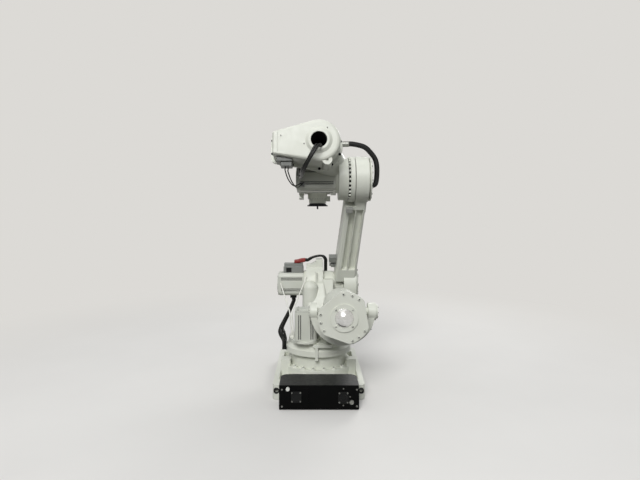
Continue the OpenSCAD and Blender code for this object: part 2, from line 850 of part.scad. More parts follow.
module arm_hose() {
  fx = a3x - 60 * cos(house_pitch) + (axis4_rise + 90) * sin(house_pitch);
  fz = a3z + 60 * sin(house_pitch) + (axis4_rise + 90) * cos(house_pitch);
  color(black) hose([[fx, -177, fz], [fx, -200, fz], [fx, -230, fz], [fx, -290, fz],
    [fx + 4, -382, fz - 22],
    [fx + 8, -head_out - 20, fz - 64], [fx + 12, -head_out - 64, fz - 124],
    [(fx + a3x) / 2, -head_out - 78, fz - 190], [a3x, -head_out - 78, a3z + 20],
    [a3x, -head_out - 68, a3z - 34], [a3x, -head_out - 46, a3z - 50], [a3x, -head_out - 27, a3z - 50],
    [a3x, -head_out - 9, a3z - 50]],
    hose_d, [1, 0.1, 0], 3, 12);
}

module passage_cables() {
  low = axis4_rise - passage_r + 16;
  under = axis4_rise - cover4_r - cover4_rim - cable_d;
  plug = motor3_y + motor3_len - 12;
  side = -motor2_d / 2 - 42 - seat;
  color(black) at3() for (i = [0, 1]) {
    hose([[-cover4_back + 120, 14 - 28 * i, low], [-cover4_back - 26 - 4 * i, 15 - 28 * i, low],
      [-cover4_back - 50 - 26 * i, 36 - 22 * i, low - 26 - 6 * i],
      [-cover4_back - 40 - 30 * i, 84 - 10 * i, under + 44 - 12 * i],
      [-cover4_back + 40 - 20 * i, 124 - 10 * i, under - 4 - 24 * i],
      [-cover4_split - 20, plug - 12, under - 10 - 28 * i],
      [side - 60, plug, 44 - 28 * i], [side - 28, plug, 44 - 28 * i], [side, plug, 44 - 28 * i]],
      cable_d, [0.1, 0.9, 1]);
  }
}

module motor_plug() {
  end = motor3_y + motor3_len;
  color(grey) at3() {
    along_x(-motor2_d / 2 - 42, 42 - seat) translate([end - 12, 30]) soft_plan(44, 66, 6);
    along_x(-motor2_d / 2 - 26, 26 - seat) translate([end - 30, -66]) soft_plan(40, 36, 5);
  }
}

module motor_leads() {
  end = motor3_y + motor3_len;
  top = axis4_rise - cover4_drop - cover4_h / 2 - 74 - seat;
  side = -motor2_d / 2 - 26 - seat;
  color(black) at3() for (i = [0, 1]) {
    x = -cover4_back + 90 + 40 * i;
    y = cover4_left - 96 - 20 * i;
    hose([[x, y, top], [x, y, top - 14], [x, y, top - 32],
      [-cover4_back + 140 + 40 * i, cover4_left - 118 - 24 * i, -76 - 6 * i],
      [-cover4_back + 240 + 30 * i, end + 30 - 22 * i, -104 - 8 * i],
      [side - 46, end - 22 - 16 * i, -70], [side - 24, end - 22 - 16 * i, -66],
      [side - 12, end - 22 - 16 * i, -66], [side, end - 22 - 16 * i, -66]], lead_d, [0.2, 1, 0.3]);
  }
}

// Forearm and wrist
module forearm() {
  root = house_front + gap;
  color(paint) at4() union() {
    x_cyl(110, house_front + seat, root + 1);
    rotate([0, 90, 0]) rotate_extrude($fn = 96)
      polygon([[0, root], [forearm_r, root], [forearm_r, root + 90], [forearm_r - 26, root + 300],
        [forearm_r - 26, fork_root - 150], [0, fork_root - 150]]);
    hull() {
      x_cyl(forearm_r - 26, fork_root - 160, fork_root - 150);
      box(fork_root - 40, fork_root, -fork_half, fork_half, -fork_r + 12, fork_r - 12);
    }
    for (s = [-1, 1]) hull() {
      box(fork_root - 20, fork_root, min(s * fork_in, s * fork_half), max(s * fork_in, s * fork_half),
        -fork_r + 12, fork_r - 12);
      translate([upper_len, 0, 0])
        y_cyl(fork_r, min(s * fork_in, s * fork_half), max(s * fork_in, s * fork_half));
    }
    box(upper_len - 50, upper_len + 40, fork_in + 6, fork_half - 2, -fork_r - 44, -fork_r + 40);
  }
}

module fork_covers() {
  color(paint) at4() translate([upper_len, 0, 0]) {
    y_cyl(fork_r - 28, fork_half + seat, fork_half + 12);
    y_cyl(fork_r - 28, -fork_half - 12, -fork_half - seat);
  }
}

module tilt_housing() {
  neck_end = wrist_len - flange_t - gap;
  color(paint) at5() {
    y_cyl(fork_r - 10, -tilt_half, tilt_half);
    y_cyl(70, -fork_in + seat, -tilt_half + 1);
    y_cyl(70, tilt_half - 1, fork_in - seat);
    x_cyl(neck_r - 12, 20, neck_end);
    x_cyl(neck_r, 20, neck_end - 46);
    x_cyl(80, neck_end - 1, wrist_len - flange_t - seat);
    box(140, 196, -tilt_half, -neck_r + 20, -34, 34);
  }
}

module tool_flange() {
  color(black) at5() difference() {
    union() {
      x_cyl(flange_r, wrist_len - flange_t / 2, wrist_len);
      x_cyl(flange_r - 16, wrist_len - flange_t, wrist_len - flange_t / 2 + 1);
      x_cyl(9, wrist_len - 1, wrist_len + 30);
    }
    for (i = [0:flange_count - 1])
      rotate([i * 360 / flange_count, 0, 0]) translate([0, flange_pcd / 2, 0])
        x_cyl(flange_hole / 2, wrist_len - flange_t - 1, wrist_len + 1);
  }
}

base_casting();
connector_box();
connector_panel();
square_connector();
round_connector();
panel_gland();
panel_plug();
foot_plugs();
turntable();
frame_casting();
balance_yoke();
axis1_motor();
axis1_motor_cap();
axis2_motor();
axis2_motor_cap();
motor_terminal_box();
terminal_cap();
trunnion_covers();
harness_clamps();
frame_harness();
top_harness();
frame_cords();
balance_barrel();
balance_cover();
balance_cap();
balance_rod();
lower_arm_casting();
rod_pin();
foot_cover();
head_cover();
arm_gland();
arm_bumper();
arm_clamps();
arm_housing();
gear_cover();
axis3_motor();
axis3_motor_cap();
axis4_motor();
axis4_motor_cap();
house_connector();
hose_fitting();
arm_hose();
passage_cables();
motor_plug();
motor_leads();
forearm();
fork_covers();
tilt_housing();
tool_flange();
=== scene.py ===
"""Looks of a six-axis industrial robot arm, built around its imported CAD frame. Metres."""

import json
import math
from collections import namedtuple

import bmesh
import bpy
from mathutils import Matrix, Vector


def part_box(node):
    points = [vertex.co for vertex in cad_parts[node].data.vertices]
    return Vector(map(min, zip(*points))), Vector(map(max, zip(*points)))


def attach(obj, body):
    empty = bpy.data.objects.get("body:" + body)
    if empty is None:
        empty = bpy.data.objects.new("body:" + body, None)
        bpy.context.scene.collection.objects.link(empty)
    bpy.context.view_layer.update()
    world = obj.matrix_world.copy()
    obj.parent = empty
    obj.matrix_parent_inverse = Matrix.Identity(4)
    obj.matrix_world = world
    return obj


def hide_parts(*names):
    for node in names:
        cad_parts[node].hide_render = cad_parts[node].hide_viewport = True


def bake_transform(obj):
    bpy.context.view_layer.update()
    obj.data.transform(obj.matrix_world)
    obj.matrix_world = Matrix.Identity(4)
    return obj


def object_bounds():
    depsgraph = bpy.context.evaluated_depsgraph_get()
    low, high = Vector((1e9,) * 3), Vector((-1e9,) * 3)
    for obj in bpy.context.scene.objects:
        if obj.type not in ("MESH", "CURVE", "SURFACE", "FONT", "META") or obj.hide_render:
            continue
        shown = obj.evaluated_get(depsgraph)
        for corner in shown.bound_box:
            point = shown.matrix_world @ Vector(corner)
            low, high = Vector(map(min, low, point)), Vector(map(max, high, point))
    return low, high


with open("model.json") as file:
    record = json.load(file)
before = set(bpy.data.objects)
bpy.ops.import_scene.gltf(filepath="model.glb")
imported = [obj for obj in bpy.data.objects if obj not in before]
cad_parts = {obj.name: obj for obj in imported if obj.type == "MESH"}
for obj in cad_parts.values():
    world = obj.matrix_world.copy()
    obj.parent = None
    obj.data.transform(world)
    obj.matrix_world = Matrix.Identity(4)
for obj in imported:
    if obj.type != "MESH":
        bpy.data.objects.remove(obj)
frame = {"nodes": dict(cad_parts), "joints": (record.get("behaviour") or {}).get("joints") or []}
CAD_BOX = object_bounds()

# Camera: level, behind the arm, with the photograph's framing
IMAGE_W, IMAGE_H = 640, 480
EYE = (-4.24, 0.034, 1.48)
FOCAL_PX = 481
AHEAD_PX = (314.4, 209.0)
SENSOR_MM = 36.0
ALONG_X = (math.radians(90), 0, math.radians(-90))


def show(thing):
    """Put an object into the scene."""
    bpy.context.scene.collection.objects.link(thing)
    return thing


def make_camera():
    data = bpy.data.cameras.new("camera")
    data.sensor_width = SENSOR_MM
    data.lens = SENSOR_MM * FOCAL_PX / IMAGE_W
    data.shift_x = (IMAGE_W / 2 - AHEAD_PX[0]) / IMAGE_W
    data.shift_y = (AHEAD_PX[1] - IMAGE_H / 2) / IMAGE_W
    camera = show(bpy.data.objects.new("camera", data))
    camera.location = EYE
    camera.rotation_euler = ALONG_X
    bpy.context.scene.camera = camera


make_camera()

# Local frames, worked out from the joints
JOINT_AT = {j["name"]: Vector(j["pos_m"]) for j in frame["joints"]}
JOINT_AXIS = {j["name"]: Vector(j["axis"]) for j in frame["joints"]}


def local_frame(origin, x_axis):
    """Matrix at a point, with the given X axis and the part's own Y axis."""
    x = Vector(x_axis).normalized()
    y = Vector((0, 1, 0))
    z = x.cross(y)
    turn = Matrix((x, y, z)).transposed().to_4x4()
    return Matrix.Translation(origin) @ turn


def facing(where, towards):
    """Matrix at a point whose local Z looks along a direction."""
    return Matrix.Translation(where) @ Vector(towards).to_track_quat("Z", "Y").to_matrix().to_4x4()


def joint_in_plane(joint, y=0.0):
    """A joint's place, moved along Y into a plane."""
    return Vector((JOINT_AT[joint][0], y, JOINT_AT[joint][2]))


def middle_y(node):
    low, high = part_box(node)
    return (low[1] + high[1]) / 2


AXIS_2 = joint_in_plane("axis_2")
AXIS_3 = joint_in_plane("axis_3")
UP_ARM = (AXIS_3 - AXIS_2).normalized()
LOWER_LEN = (AXIS_3 - AXIS_2).length
AT_2 = local_frame(AXIS_2, Vector((0, 1, 0)).cross(UP_ARM))
AT_3 = local_frame(AXIS_3, JOINT_AXIS["axis_4"])
AXIS_4_RISE = (AT_3.inverted() @ joint_in_plane("axis_4"))[2]
AT_4 = AT_3 @ Matrix.Translation((0, 0, AXIS_4_RISE))
AT_5 = local_frame(joint_in_plane("axis_5"), JOINT_AXIS["axis_6"])
BALANCE_Y = middle_y("balance_barrel")
TRUNNION = joint_in_plane("balance_swing", BALANCE_Y)
ROD_PIN = joint_in_plane("rod_swing", BALANCE_Y)
AT_BALANCE = local_frame(TRUNNION, ROD_PIN - TRUNNION)

# Materials. The numbers below are the sockets of a colour Mix node
MIX_FIRST, MIX_SECOND, MIX_RESULT = 6, 7, 2


def linear(code):
    """Linear colour of a #rrggbb code."""
    parts = [int(code[i:i + 2], 16) / 255 for i in (1, 3, 5)]
    return [p / 12.92 if p <= 0.04045 else ((p + 0.055) / 1.055) ** 2.4 for p in parts] + [1]


def dimmed(colour, share):
    return [c * share for c in colour[:3]] + [1]


class Nodes:
    """A node tree, with short calls that add and link its nodes."""

    def __init__(self, tree):
        self.tree = tree

    def add(self, kind, **values):
        node = self.tree.nodes.new(kind)
        for key, value in values.items():
            setattr(node, key, value)
        return node

    def link(self, source, target):
        self.tree.links.new(source, target)

    def feed(self, target, value):
        """Link a socket to another socket, or give it a constant."""
        if isinstance(value, bpy.types.NodeSocket):
            self.link(value, target)
        else:
            target.default_value = value

    def map_range(self, source, start, end, low=0.0, high=1.0, **values):
        """The source's stretch from start to end, spread from low to high."""
        node = self.add("ShaderNodeMapRange", **values)
        node.inputs["From Min"].default_value = start
        node.inputs["From Max"].default_value = end
        node.inputs["To Min"].default_value = low
        node.inputs["To Max"].default_value = high
        self.link(source, node.inputs["Value"])
        return node.outputs["Result"]

    def combine(self, operation, first, second):
        node = self.add("ShaderNodeMath", operation=operation)
        self.link(first, node.inputs[0])
        self.link(second, node.inputs[1])
        return node.outputs[0]

    def vector_math(self, operation, output, *values):
        node = self.add("ShaderNodeVectorMath", operation=operation)
        for target, value in zip(node.inputs, values):
            self.feed(target, value)
        return node.outputs[output]

    def seen(self):
        """1 for rays of the camera and of glossy reflections, 0 for all others."""
        path = self.add("ShaderNodeLightPath").outputs
        return self.combine("MAXIMUM", path["Is Camera Ray"], path["Is Glossy Ray"])

    def output_mix(self, factor, first, second, output):
        """Send a mix of two shader nodes to the tree's output node."""
        mix = self.add("ShaderNodeMixShader")
        self.link(factor, mix.inputs["Fac"])
        self.link(first.outputs[0], mix.inputs[1])
        self.link(second.outputs[0], mix.inputs[2])
        self.link(mix.outputs[0], self.tree.nodes[output].inputs["Surface"])


class Shader(Nodes):
    """A material with a Principled shader."""

    def __init__(self, name):
        self.material = bpy.data.materials.new(name)
        self.material.use_nodes = True
        super().__init__(self.material.node_tree)
        self.out = self.tree.nodes["Principled BSDF"]
        self.coords = self.add("ShaderNodeTexCoord").outputs["Object"]

    def noise(self, scale, detail=3.0, stretch=None):
        node = self.add("ShaderNodeTexNoise")
        node.inputs["Scale"].default_value = scale
        node.inputs["Detail"].default_value = detail
        source = self.coords
        if stretch:
            mapping = self.add("ShaderNodeMapping")
            mapping.inputs["Scale"].default_value = stretch
            self.link(source, mapping.inputs["Vector"])
            source = mapping.outputs["Vector"]
        self.link(source, node.inputs["Vector"])
        return node.outputs["Fac"]

    def ramp(self, source, low, dark, high, light):
        """Colour that runs from dark at a low value to light at a high one."""
        node = self.add("ShaderNodeValToRGB")
        for point, place, colour in zip(node.color_ramp.elements, (low, high), (dark, light)):
            point.position = place
            point.color = colour
        self.link(source, node.inputs["Fac"])
        return node.outputs["Color"]

    def spread(self, noise, low, high):
        """The usual range of a noise, spread from low to high."""
        return self.map_range(noise, 0.3, 0.7, low, high)

    def mix(self, factor, first, second):
        node = self.add("ShaderNodeMix", data_type="RGBA")
        self.link(factor, node.inputs["Factor"])
        self.feed(node.inputs[MIX_FIRST], first)
        self.feed(node.inputs[MIX_SECOND], second)
        return node.outputs[MIX_RESULT]

    def soft_edges(self, radius):
        node = self.add("ShaderNodeBevel", samples=6)
        node.inputs["Radius"].default_value = radius
        return node.outputs["Normal"]

    def edge_mask(self, rounded, low, high):
        """White where the rounded normal leaves the flat one: along edges."""
        flat = self.add("ShaderNodeNewGeometry").outputs["Normal"]
        return self.map_range(self.vector_math("DOT_PRODUCT", "Value", rounded, flat), high, low)

    def groove_shade_mask(self, reach, low, high):
        """White in the object's own grooves, up to reach wide, and black on its open faces: the mask
        of painted shade in grooves.
        """
        shade = self.add("ShaderNodeAmbientOcclusion", samples=8, only_local=True)
        shade.inputs["Distance"].default_value = reach
        return self.map_range(shade.outputs["AO"], high, low)

    def bump(self, height, strength, distance, normal=None):
        node = self.add("ShaderNodeBump")
        node.inputs["Strength"].default_value = strength
        node.inputs["Distance"].default_value = distance
        self.link(height, node.inputs["Height"])
        if normal:
            self.link(normal, node.inputs["Normal"])
        self.link(node.outputs["Normal"], self.out.inputs["Normal"])

    def set(self, **values):
        for key, value in values.items():
            self.out.inputs[key.replace("_", " ")].default_value = value

    def colour(self, source):
        self.link(source, self.out.inputs["Base Color"])

    def roughness(self, source):
        self.link(source, self.out.inputs["Roughness"])

    def paint_tone(self, light, dark):
        """The slow drift of a sprayed colour."""
        return self.ramp(self.noise(scale=5.0), 0.35, linear(dark), 0.65, linear(light))

    def orange_peel(self):
        return self.noise(scale=420.0, detail=2.0)


# Edges that the paint softens, the reach of the painted shade in its grooves and the width of a masked
# paint edge
CAST_EDGE, FINE_EDGE, SHARP_EDGE = 0.005, 0.003, 0.002
GROOVE_REACH = 0.014
MASK_EDGE = 0.0005


def paint_material(name, light, dark, worn, edge=CAST_EDGE, groove_shade=None):
    """Sprayed paint on cast metal: tone drift, orange peel, edges rubbed paler, and painted shade in
    its grooves.
    """
    s = Shader(name)
    rounded = s.soft_edges(edge)
    rubbed = s.edge_mask(rounded, low=0.86, high=0.99)
    colour = s.mix(rubbed, s.paint_tone(light, dark), linear(worn))
    if groove_shade:
        # painted shade: the object's own grooves and inner corners darkened by ambient occlusion
        colour = s.mix(s.groove_shade_mask(GROOVE_REACH, low=0.55, high=0.90), colour, linear(groove_shade))
    s.colour(colour)
    s.roughness(s.spread(s.noise(scale=30.0), low=0.36, high=0.50))
    s.bump(s.orange_peel(), strength=0.10, distance=0.0006, normal=rounded)
    return s.material


def metal_material(name, light, dark, rough, grain, stretch=None):
    """Bare metal with a machined or cast grain."""
    s = Shader(name)
    cast = s.noise(grain, detail=4.0, stretch=stretch)
    s.colour(s.ramp(cast, 0.3, linear(dark), 0.7, linear(light)))
    s.roughness(s.spread(cast, low=rough - 0.06, high=rough + 0.08))
    s.bump(cast, strength=0.06, distance=0.0004, normal=s.soft_edges(SHARP_EDGE))
    s.set(Metallic=1.0)
    return s.material


def plastic_material(name, light, dark, rough, grain=600.0, depth=0.12, gloss=0.5):
    """Moulded plastic, rubber or satin black enamel with a fine grain."""
    s = Shader(name)
    s.set(Specular_IOR_Level=gloss)
    s.colour(s.ramp(s.noise(scale=14.0), 0.3, linear(dark), 0.7, linear(light)))
    s.roughness(s.spread(s.noise(scale=40.0), low=rough - 0.06, high=rough + 0.06))
    rounded = s.soft_edges(SHARP_EDGE)
    s.bump(s.noise(grain, detail=2.0), strength=depth, distance=0.0004, normal=rounded)
    return s.material


def braid_material(name, light, dark):
    """Black sleeve of a hose, with a fine braid."""
    s = Shader(name)
    s.set(Specular_IOR_Level=0.25)
    wave = s.add("ShaderNodeTexWave", wave_type="BANDS", bands_direction="DIAGONAL")
    wave.inputs["Scale"].default_value = 95.0
    wave.inputs["Distortion"].default_value = 1.5
    s.link(s.coords, wave.inputs["Vector"])
    s.colour(s.ramp(wave.outputs["Fac"], 0.2, linear(dark), 0.9, linear(light)))
    s.roughness(s.spread(s.noise(scale=60.0), low=0.48, high=0.62))
    s.bump(wave.outputs["Fac"], strength=0.25, distance=0.0008)
    return s.material


def domed_cap_material(name, light, dark, polish, centre, axis, radius):
    """Paint outside a radius about an axis, and bare polished metal inside it."""
    s = Shader(name)
    from_centre = s.vector_math("SUBTRACT", "Vector", s.coords, centre)
    across = s.vector_math("CROSS_PRODUCT", "Vector", from_centre, axis)
    from_axis = s.vector_math("LENGTH", "Value", across)
    bare = s.map_range(from_axis, radius + MASK_EDGE, radius - MASK_EDGE)
    polish_dark, polish_light = (linear(code) for code in polish)
    metal = s.ramp(s.noise(scale=60.0, detail=4.0), 0.3, polish_dark, 0.7, polish_light)
    s.colour(s.mix(bare, s.paint_tone(light, dark), metal))
    s.link(bare, s.out.inputs["Metallic"])
    s.roughness(s.map_range(bare, 0.0, 1.0, low=0.42, high=0.20))
    s.bump(s.orange_peel(), strength=0.04, distance=0.0004, normal=s.soft_edges(FINE_EDGE))
    return s.material


PAINT_LIGHT, PAINT_DARK, PAINT_WORN = "#dcded3", "#d6d8cc", "#e2e4da"
DOME_R = 0.0715
DOME_POLISH = ("#d6d6d4", "#e4e4e2")
UPRIGHT_GRAIN = (1, 1, 14)

PAINT = paint_material("paint", PAINT_LIGHT, PAINT_DARK, PAINT_WORN)
# The motors' grooves hold painted shade
MOTOR_PAINT = paint_material(
    "motor_paint", "#d0d2c8", "#c9cbc0", "#dbdcd3", FINE_EDGE, groove_shade="#5c5d57")
CAP_PAINT = paint_material("cap_paint", "#c8cac1", "#c1c3b9", "#d3d5cc", FINE_EDGE)
GREY_ENAMEL = paint_material("grey_enamel", "#858783", "#7b7d79", "#989a96", FINE_EDGE)
# A darker copy of the grey enamel: painted shade on the connector under the gear cover's rim
SHADED_CONNECTOR_GREY = paint_material("connector_grey", "#5d5f5b", "#545652", "#70726e", FINE_EDGE)
DOMED_CAP = domed_cap_material(
    "domed_cap", PAINT_LIGHT, PAINT_DARK, DOME_POLISH,
    centre=TRUNNION, axis=(ROD_PIN - TRUNNION).normalized(), radius=DOME_R)

BLACK_ENAMEL = plastic_material(
    "black_enamel", "#1e1f20", "#18191a", rough=0.40, grain=500.0, depth=0.08, gloss=0.3)
BLACK_PANEL = plastic_material(
    "black_panel", "#070707", "#040505", rough=0.5, grain=500.0, depth=0.08, gloss=0.06)
BLACK_PLASTIC = plastic_material("black_plastic", "#121313", "#0d0e0e", rough=0.5, gloss=0.2)
RUBBER = plastic_material(
    "rubber", "#161717", "#101111", rough=0.55, grain=350.0, depth=0.15, gloss=0.25)
# Near-black for painted shade deep in the cable hole
HOLE_SHADE_BLACK = plastic_material("hole_shade_black", "#080808", "#050505", rough=0.7, gloss=0.05)
# Near-black for painted shade in the sockets of screw heads
SOCKET_SHADE = plastic_material("socket_shade", "#1c1d1b", "#141513", rough=0.6, gloss=0.15)
BUMPER_RUBBER = plastic_material("bumper_rubber", "#a3a49f", "#979893", rough=0.6)
CABLE = plastic_material(
    "cable", "#151614", "#0f100e", rough=0.32, grain=300.0, depth=0.06, gloss=0.25)
WHITE_CORD = plastic_material("white_cord", "#ecece4", "#e2e2d8", rough=0.5, grain=300.0, depth=0.1)
WHITE_PLASTIC = plastic_material("white_plastic", "#e2e3dc", "#d8d9d1", rough=0.45)
RED_PLASTIC = plastic_material("red_plastic", "#96302c", "#812522", rough=0.42)
HOSE_SLEEVE = braid_material("hose_sleeve", "#1d1e1e", "#0d0e0e")

STEEL = metal_material("steel", "#a9abac", "#949697", rough=0.30, grain=180.0, stretch=UPRIGHT_GRAIN)
ZINC = metal_material("zinc", "#9fa09c", "#84857f", rough=0.38, grain=240.0)
BLACK_OXIDE = metal_material("black_oxide", "#2c2c2e", "#1e1e20", rough=0.42, grain=200.0)

# The finish of each node that isn't in the main paint
MOTORS = [f"axis{n}_motor" for n in (1, 2, 3, 4)]
FINISH = {
    **{motor: MOTOR_PAINT for motor in MOTORS},
    **{f"{motor}_cap": CAP_PAINT for motor in MOTORS},
    "connector_box": BLACK_ENAMEL,
    "connector_panel": BLACK_PANEL,
    "square_connector": BLACK_PLASTIC,
    "round_connector": BLACK_PLASTIC,
    "panel_gland": ZINC,
    "panel_plug": WHITE_PLASTIC,
    "foot_plugs": RUBBER,
    "motor_terminal_box": GREY_ENAMEL,
    "terminal_cap": RED_PLASTIC,
    "harness_clamps": BLACK_PLASTIC,
    "balance_cap": DOMED_CAP,
    "balance_rod": STEEL,
    "rod_pin": STEEL,
    "arm_gland": RUBBER,
    "arm_bumper": BUMPER_RUBBER,
    "arm_clamps": GREY_ENAMEL,
    "house_connector": SHADED_CONNECTOR_GREY,
    "hose_fitting": ZINC,
    "motor_plug": GREY_ENAMEL,
    "tool_flange": BLACK_OXIDE,
    "frame_harness": CABLE,
    "top_harness": CABLE,
    "frame_cords": WHITE_CORD,
    "arm_hose": HOSE_SLEEVE,
    "passage_cables": CABLE,
    "motor_leads": CABLE,
}


def finish_nodes():
    for name, node in frame["nodes"].items():
        node.data.materials.clear()
        node.data.materials.append(FINISH.get(name, PAINT))


finish_nodes()


def add_piece(name, mesh, material, body):
    mesh.materials.append(material)
    piece = show(bpy.data.objects.new(name, mesh))
    if body:
        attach(piece, body)
    return piece


def new_piece(name, points, faces, material, body, smooth=True):
    mesh = bpy.data.meshes.new(name)
    mesh.from_pydata([tuple(p) for p in points], [], faces)
    for polygon in mesh.polygons:
        polygon.use_smooth = smooth
    return add_piece(name, mesh, material, body)


def block(name, low, high, material, body, bevel=0.0025):
    """A box with rounded edges, from its lowest and highest corners."""
    low, high = Vector(low), Vector(high)
    shape = bmesh.new()
    bmesh.ops.create_cube(shape, size=1.0)
    for vertex in shape.verts:
        vertex.co = [(low[i] + high[i]) / 2 + vertex.co[i] * (high[i] - low[i]) for i in range(3)]
    bmesh.ops.bevel(shape, geom=shape.edges[:], offset=bevel, segments=3, affect="EDGES", profile=0.5)
    mesh = bpy.data.meshes.new(name)
    shape.to_mesh(mesh)
    shape.free()
    return add_piece(name, mesh, material, body)


def angles(count):
    return [2 * math.pi * k / count for k in range(count)]


def loft_faces(rings, sides):
    """Faces of a closed body of rings: its sides ring by ring, then its first and its last end."""
    faces = []
    for i in range(rings - 1):
        low, high = i * sides, (i + 1) * sides
        for k in range(sides):
            n = (k + 1) % sides
            faces.append((low + k, low + n, high + n, high + k))
    last = (rings - 1) * sides
    faces.append(tuple(reversed(range(sides))))
    faces.append(tuple(range(last, last + sides)))
    return faces


def joined(parts):
    """Points and faces of several meshes as one."""
    points, faces = [], []
    for part_points, part_faces in parts:
        start = len(points)
        points += part_points
        faces += [tuple(start + i for i in f) for f in part_faces]
    return points, faces


# Hoses and cables: smooth tubes along the routes of the CAD solids
TUBE_SIDES, HOSE_SIDES, BOOT_SIDES = 18, 24, 32
TUBE_STEPS = 10


def smooth_route(points, steps=TUBE_STEPS):
    """Points of a Catmull-Rom curve through the given points."""
    route = []
    last = len(points) - 1
    for i in range(last):
        a, b = points[max(i - 1, 0)], points[i]
        c, d = points[i + 1], points[min(i + 2, last)]
        for k in range(steps):
            t = k / steps
            route.append(0.5 * (2 * b + (c - a) * t + (2 * a - 5 * b + 4 * c - d) * t * t
                                + (3 * b - a - 3 * c + d) * t ** 3))
    return route + [points[last]]


def tube_mesh(route, radii, sides=TUBE_SIDES):
    """Points and faces of a closed tube whose rings turn with the route, without twist."""
    points = []
    last = len(route) - 1
    across = (route[1] - route[0]).normalized().orthogonal().normalized()
    for i, centre in enumerate(route):
        ahead = (route[min(i + 1, last)] - route[max(i - 1, 0)]).normalized()
        across = (across - ahead * across.dot(ahead)).normalized()
        side = ahead.cross(across)
        for a in angles(sides):
            points.append(centre + radii[i] * (math.cos(a) * across + math.sin(a) * side))
    return points, loft_faces(len(route), sides)


def mm(*values):
    return Vector(values) / 1000


def tubes(name, routes, diameter_mm, material, body, node):
    """One piece of tubes along several routes, in place of a node."""
    smooth = [smooth_route(r) for r in routes]
    meshes = [tube_mesh(r, [diameter_mm / 2000] * len(r)) for r in smooth]
    piece = new_piece(name, *joined(meshes), material, body)
    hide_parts(node)


def strands(route, offsets, spread):
    """Copies of a route, moved aside by each offset times the spread at each point."""
    return [[p + mm(dx * part, dy * part, 0) for p, part in zip(route, spread)] for dx, dy in offsets]


# Sizes of the solids along the routes, in millimetres
SEAT = 0.3
CABLE_D, LEAD_D, CORD_D, HOSE_D = 20, 9, 11, 43.4
AXIS2_X, AXIS2_Z = AXIS_2[0] * 1000, AXIS_2[2] * 1000
AXIS3_X, AXIS3_Z = AXIS_3[0] * 1000, AXIS_3[2] * 1000
RISE = AXIS_4_RISE * 1000
MOTOR_HALF = 104
GEAR2_R, GEAR2_LEFT = 185, 110
MOTOR2_Y, MOTOR2_END = 132, 357
MOTOR3_END = 165
TERMINAL_TOP = AXIS2_Z + MOTOR_HALF + 84
TURN_Z, TURN_TOP, TURN_R = 256, 370, 283
HEAD_OUT = 413
COVER_BACK, COVER_SPLIT, COVER_LEFT, COVER_R = 490, 265, 352, 165
COVER_H, COVER_DROP, COVER_RIM = 187, 18, 24
PASSAGE_R = 62

# The frame harness: its clamps' heights and their way out, and three strands for each run
TOP_CLAMP_H, LOW_CLAMP_H, CLAMP_OUT = 28, 30, 14
STRAND_D = 17
STRAND_OFFSETS = ((0, -9), (0, 9), (-12, 0))
STRAND_SPREAD = (1, 1, 1, 1.1, 1.5, 2.4, 1.5, 1, 1)


def frame_harness():
    top = AXIS2_Z - MOTOR_HALF - TOP_CLAMP_H - SEAT
    low = TURN_Z + LOW_CLAMP_H + SEAT
    y = TURN_R + CLAMP_OUT
    runs = []
    for i in (0, 1):
        x = AXIS2_X + 8 - 32 * i
        route = [
            mm(x, MOTOR2_Y + 98, top), mm(x, MOTOR2_Y + 98, top - 16), mm(x, MOTOR2_Y + 98, top - 36),
            mm(AXIS2_X - 60 - 44 * i, MOTOR2_Y + 140, top - 130),
            mm(AXIS2_X - 200 - 46 * i, y + 32, top - 230), mm(40 - 46 * i, y + 24, low + 100),
            mm(-7 - 45 * i, y, low + 54), mm(-7 - 45 * i, y, low + 26), mm(-7 - 45 * i, y, low)]
        runs += strands(route, STRAND_OFFSETS, STRAND_SPREAD)
    tubes("frame_harness_cables", runs, STRAND_D, CABLE, "frame", "frame_harness")


# The top harness: a bundle of three from the red hood, over the ear and down to the saddle
HOOD_AXIS, HOOD_END, EAR_RISE, SADDLE_RISE = 30, 12, 230, 115
BUNDLE_D = 19
BUNDLE_OFFSETS = ((-10, 4), (10, 4), (0, -9))
BUNDLE_SPREAD = (0.4, 0.4, 0.4, 0.8, 1.1, 1.1, 1.1, 1.0, 1.0, 1.0)
RELIEF_POINTS, RELIEF_WIDE, RELIEF_NARROW = 4, 0.017, 0.0135


def top_harness():
    x = AXIS2_X
    z = TERMINAL_TOP + HOOD_AXIS
    start = MOTOR2_Y - HOOD_END - SEAT
    ear = AXIS2_Z + EAR_RISE
    route = [
        mm(x, start, z), mm(x, start - 10, z), mm(x, start - 24, z), mm(x, 60, (z + ear + 30) / 2),
        mm(x, 10, ear + 24), mm(x, -42, ear + 26), mm(x, -68, ear - 4), mm(x, -70, ear - 40),
        mm(x, -70, ear - 80), mm(x, -70, AXIS2_Z + SADDLE_RISE + SEAT)]
    bundle = strands(route, BUNDLE_OFFSETS, BUNDLE_SPREAD)
    tubes("top_harness_cable", bundle, BUNDLE_D, CABLE, "frame", "top_harness")
    terminal_boot()
    boot_relief(smooth_route(route[:RELIEF_POINTS]))


# Rows of the hood, in millimetres: place along Y, half width, height and rise of the middle
BOOT_ROWS = (
    (MOTOR2_Y + 92, 26, 24, 12), (MOTOR2_Y + 90, 33, 31, 15.5), (MOTOR2_Y + 56, 33, 36, 18),
    (MOTOR2_Y + 40, 31, 40, 22), (MOTOR2_Y + 20, 26, 40, 26), (MOTOR2_Y - 6, 22, 38, 29),
    (MOTOR2_Y - HOOD_END, 20, 34, 30))
BOOT_SQUARENESS = 4


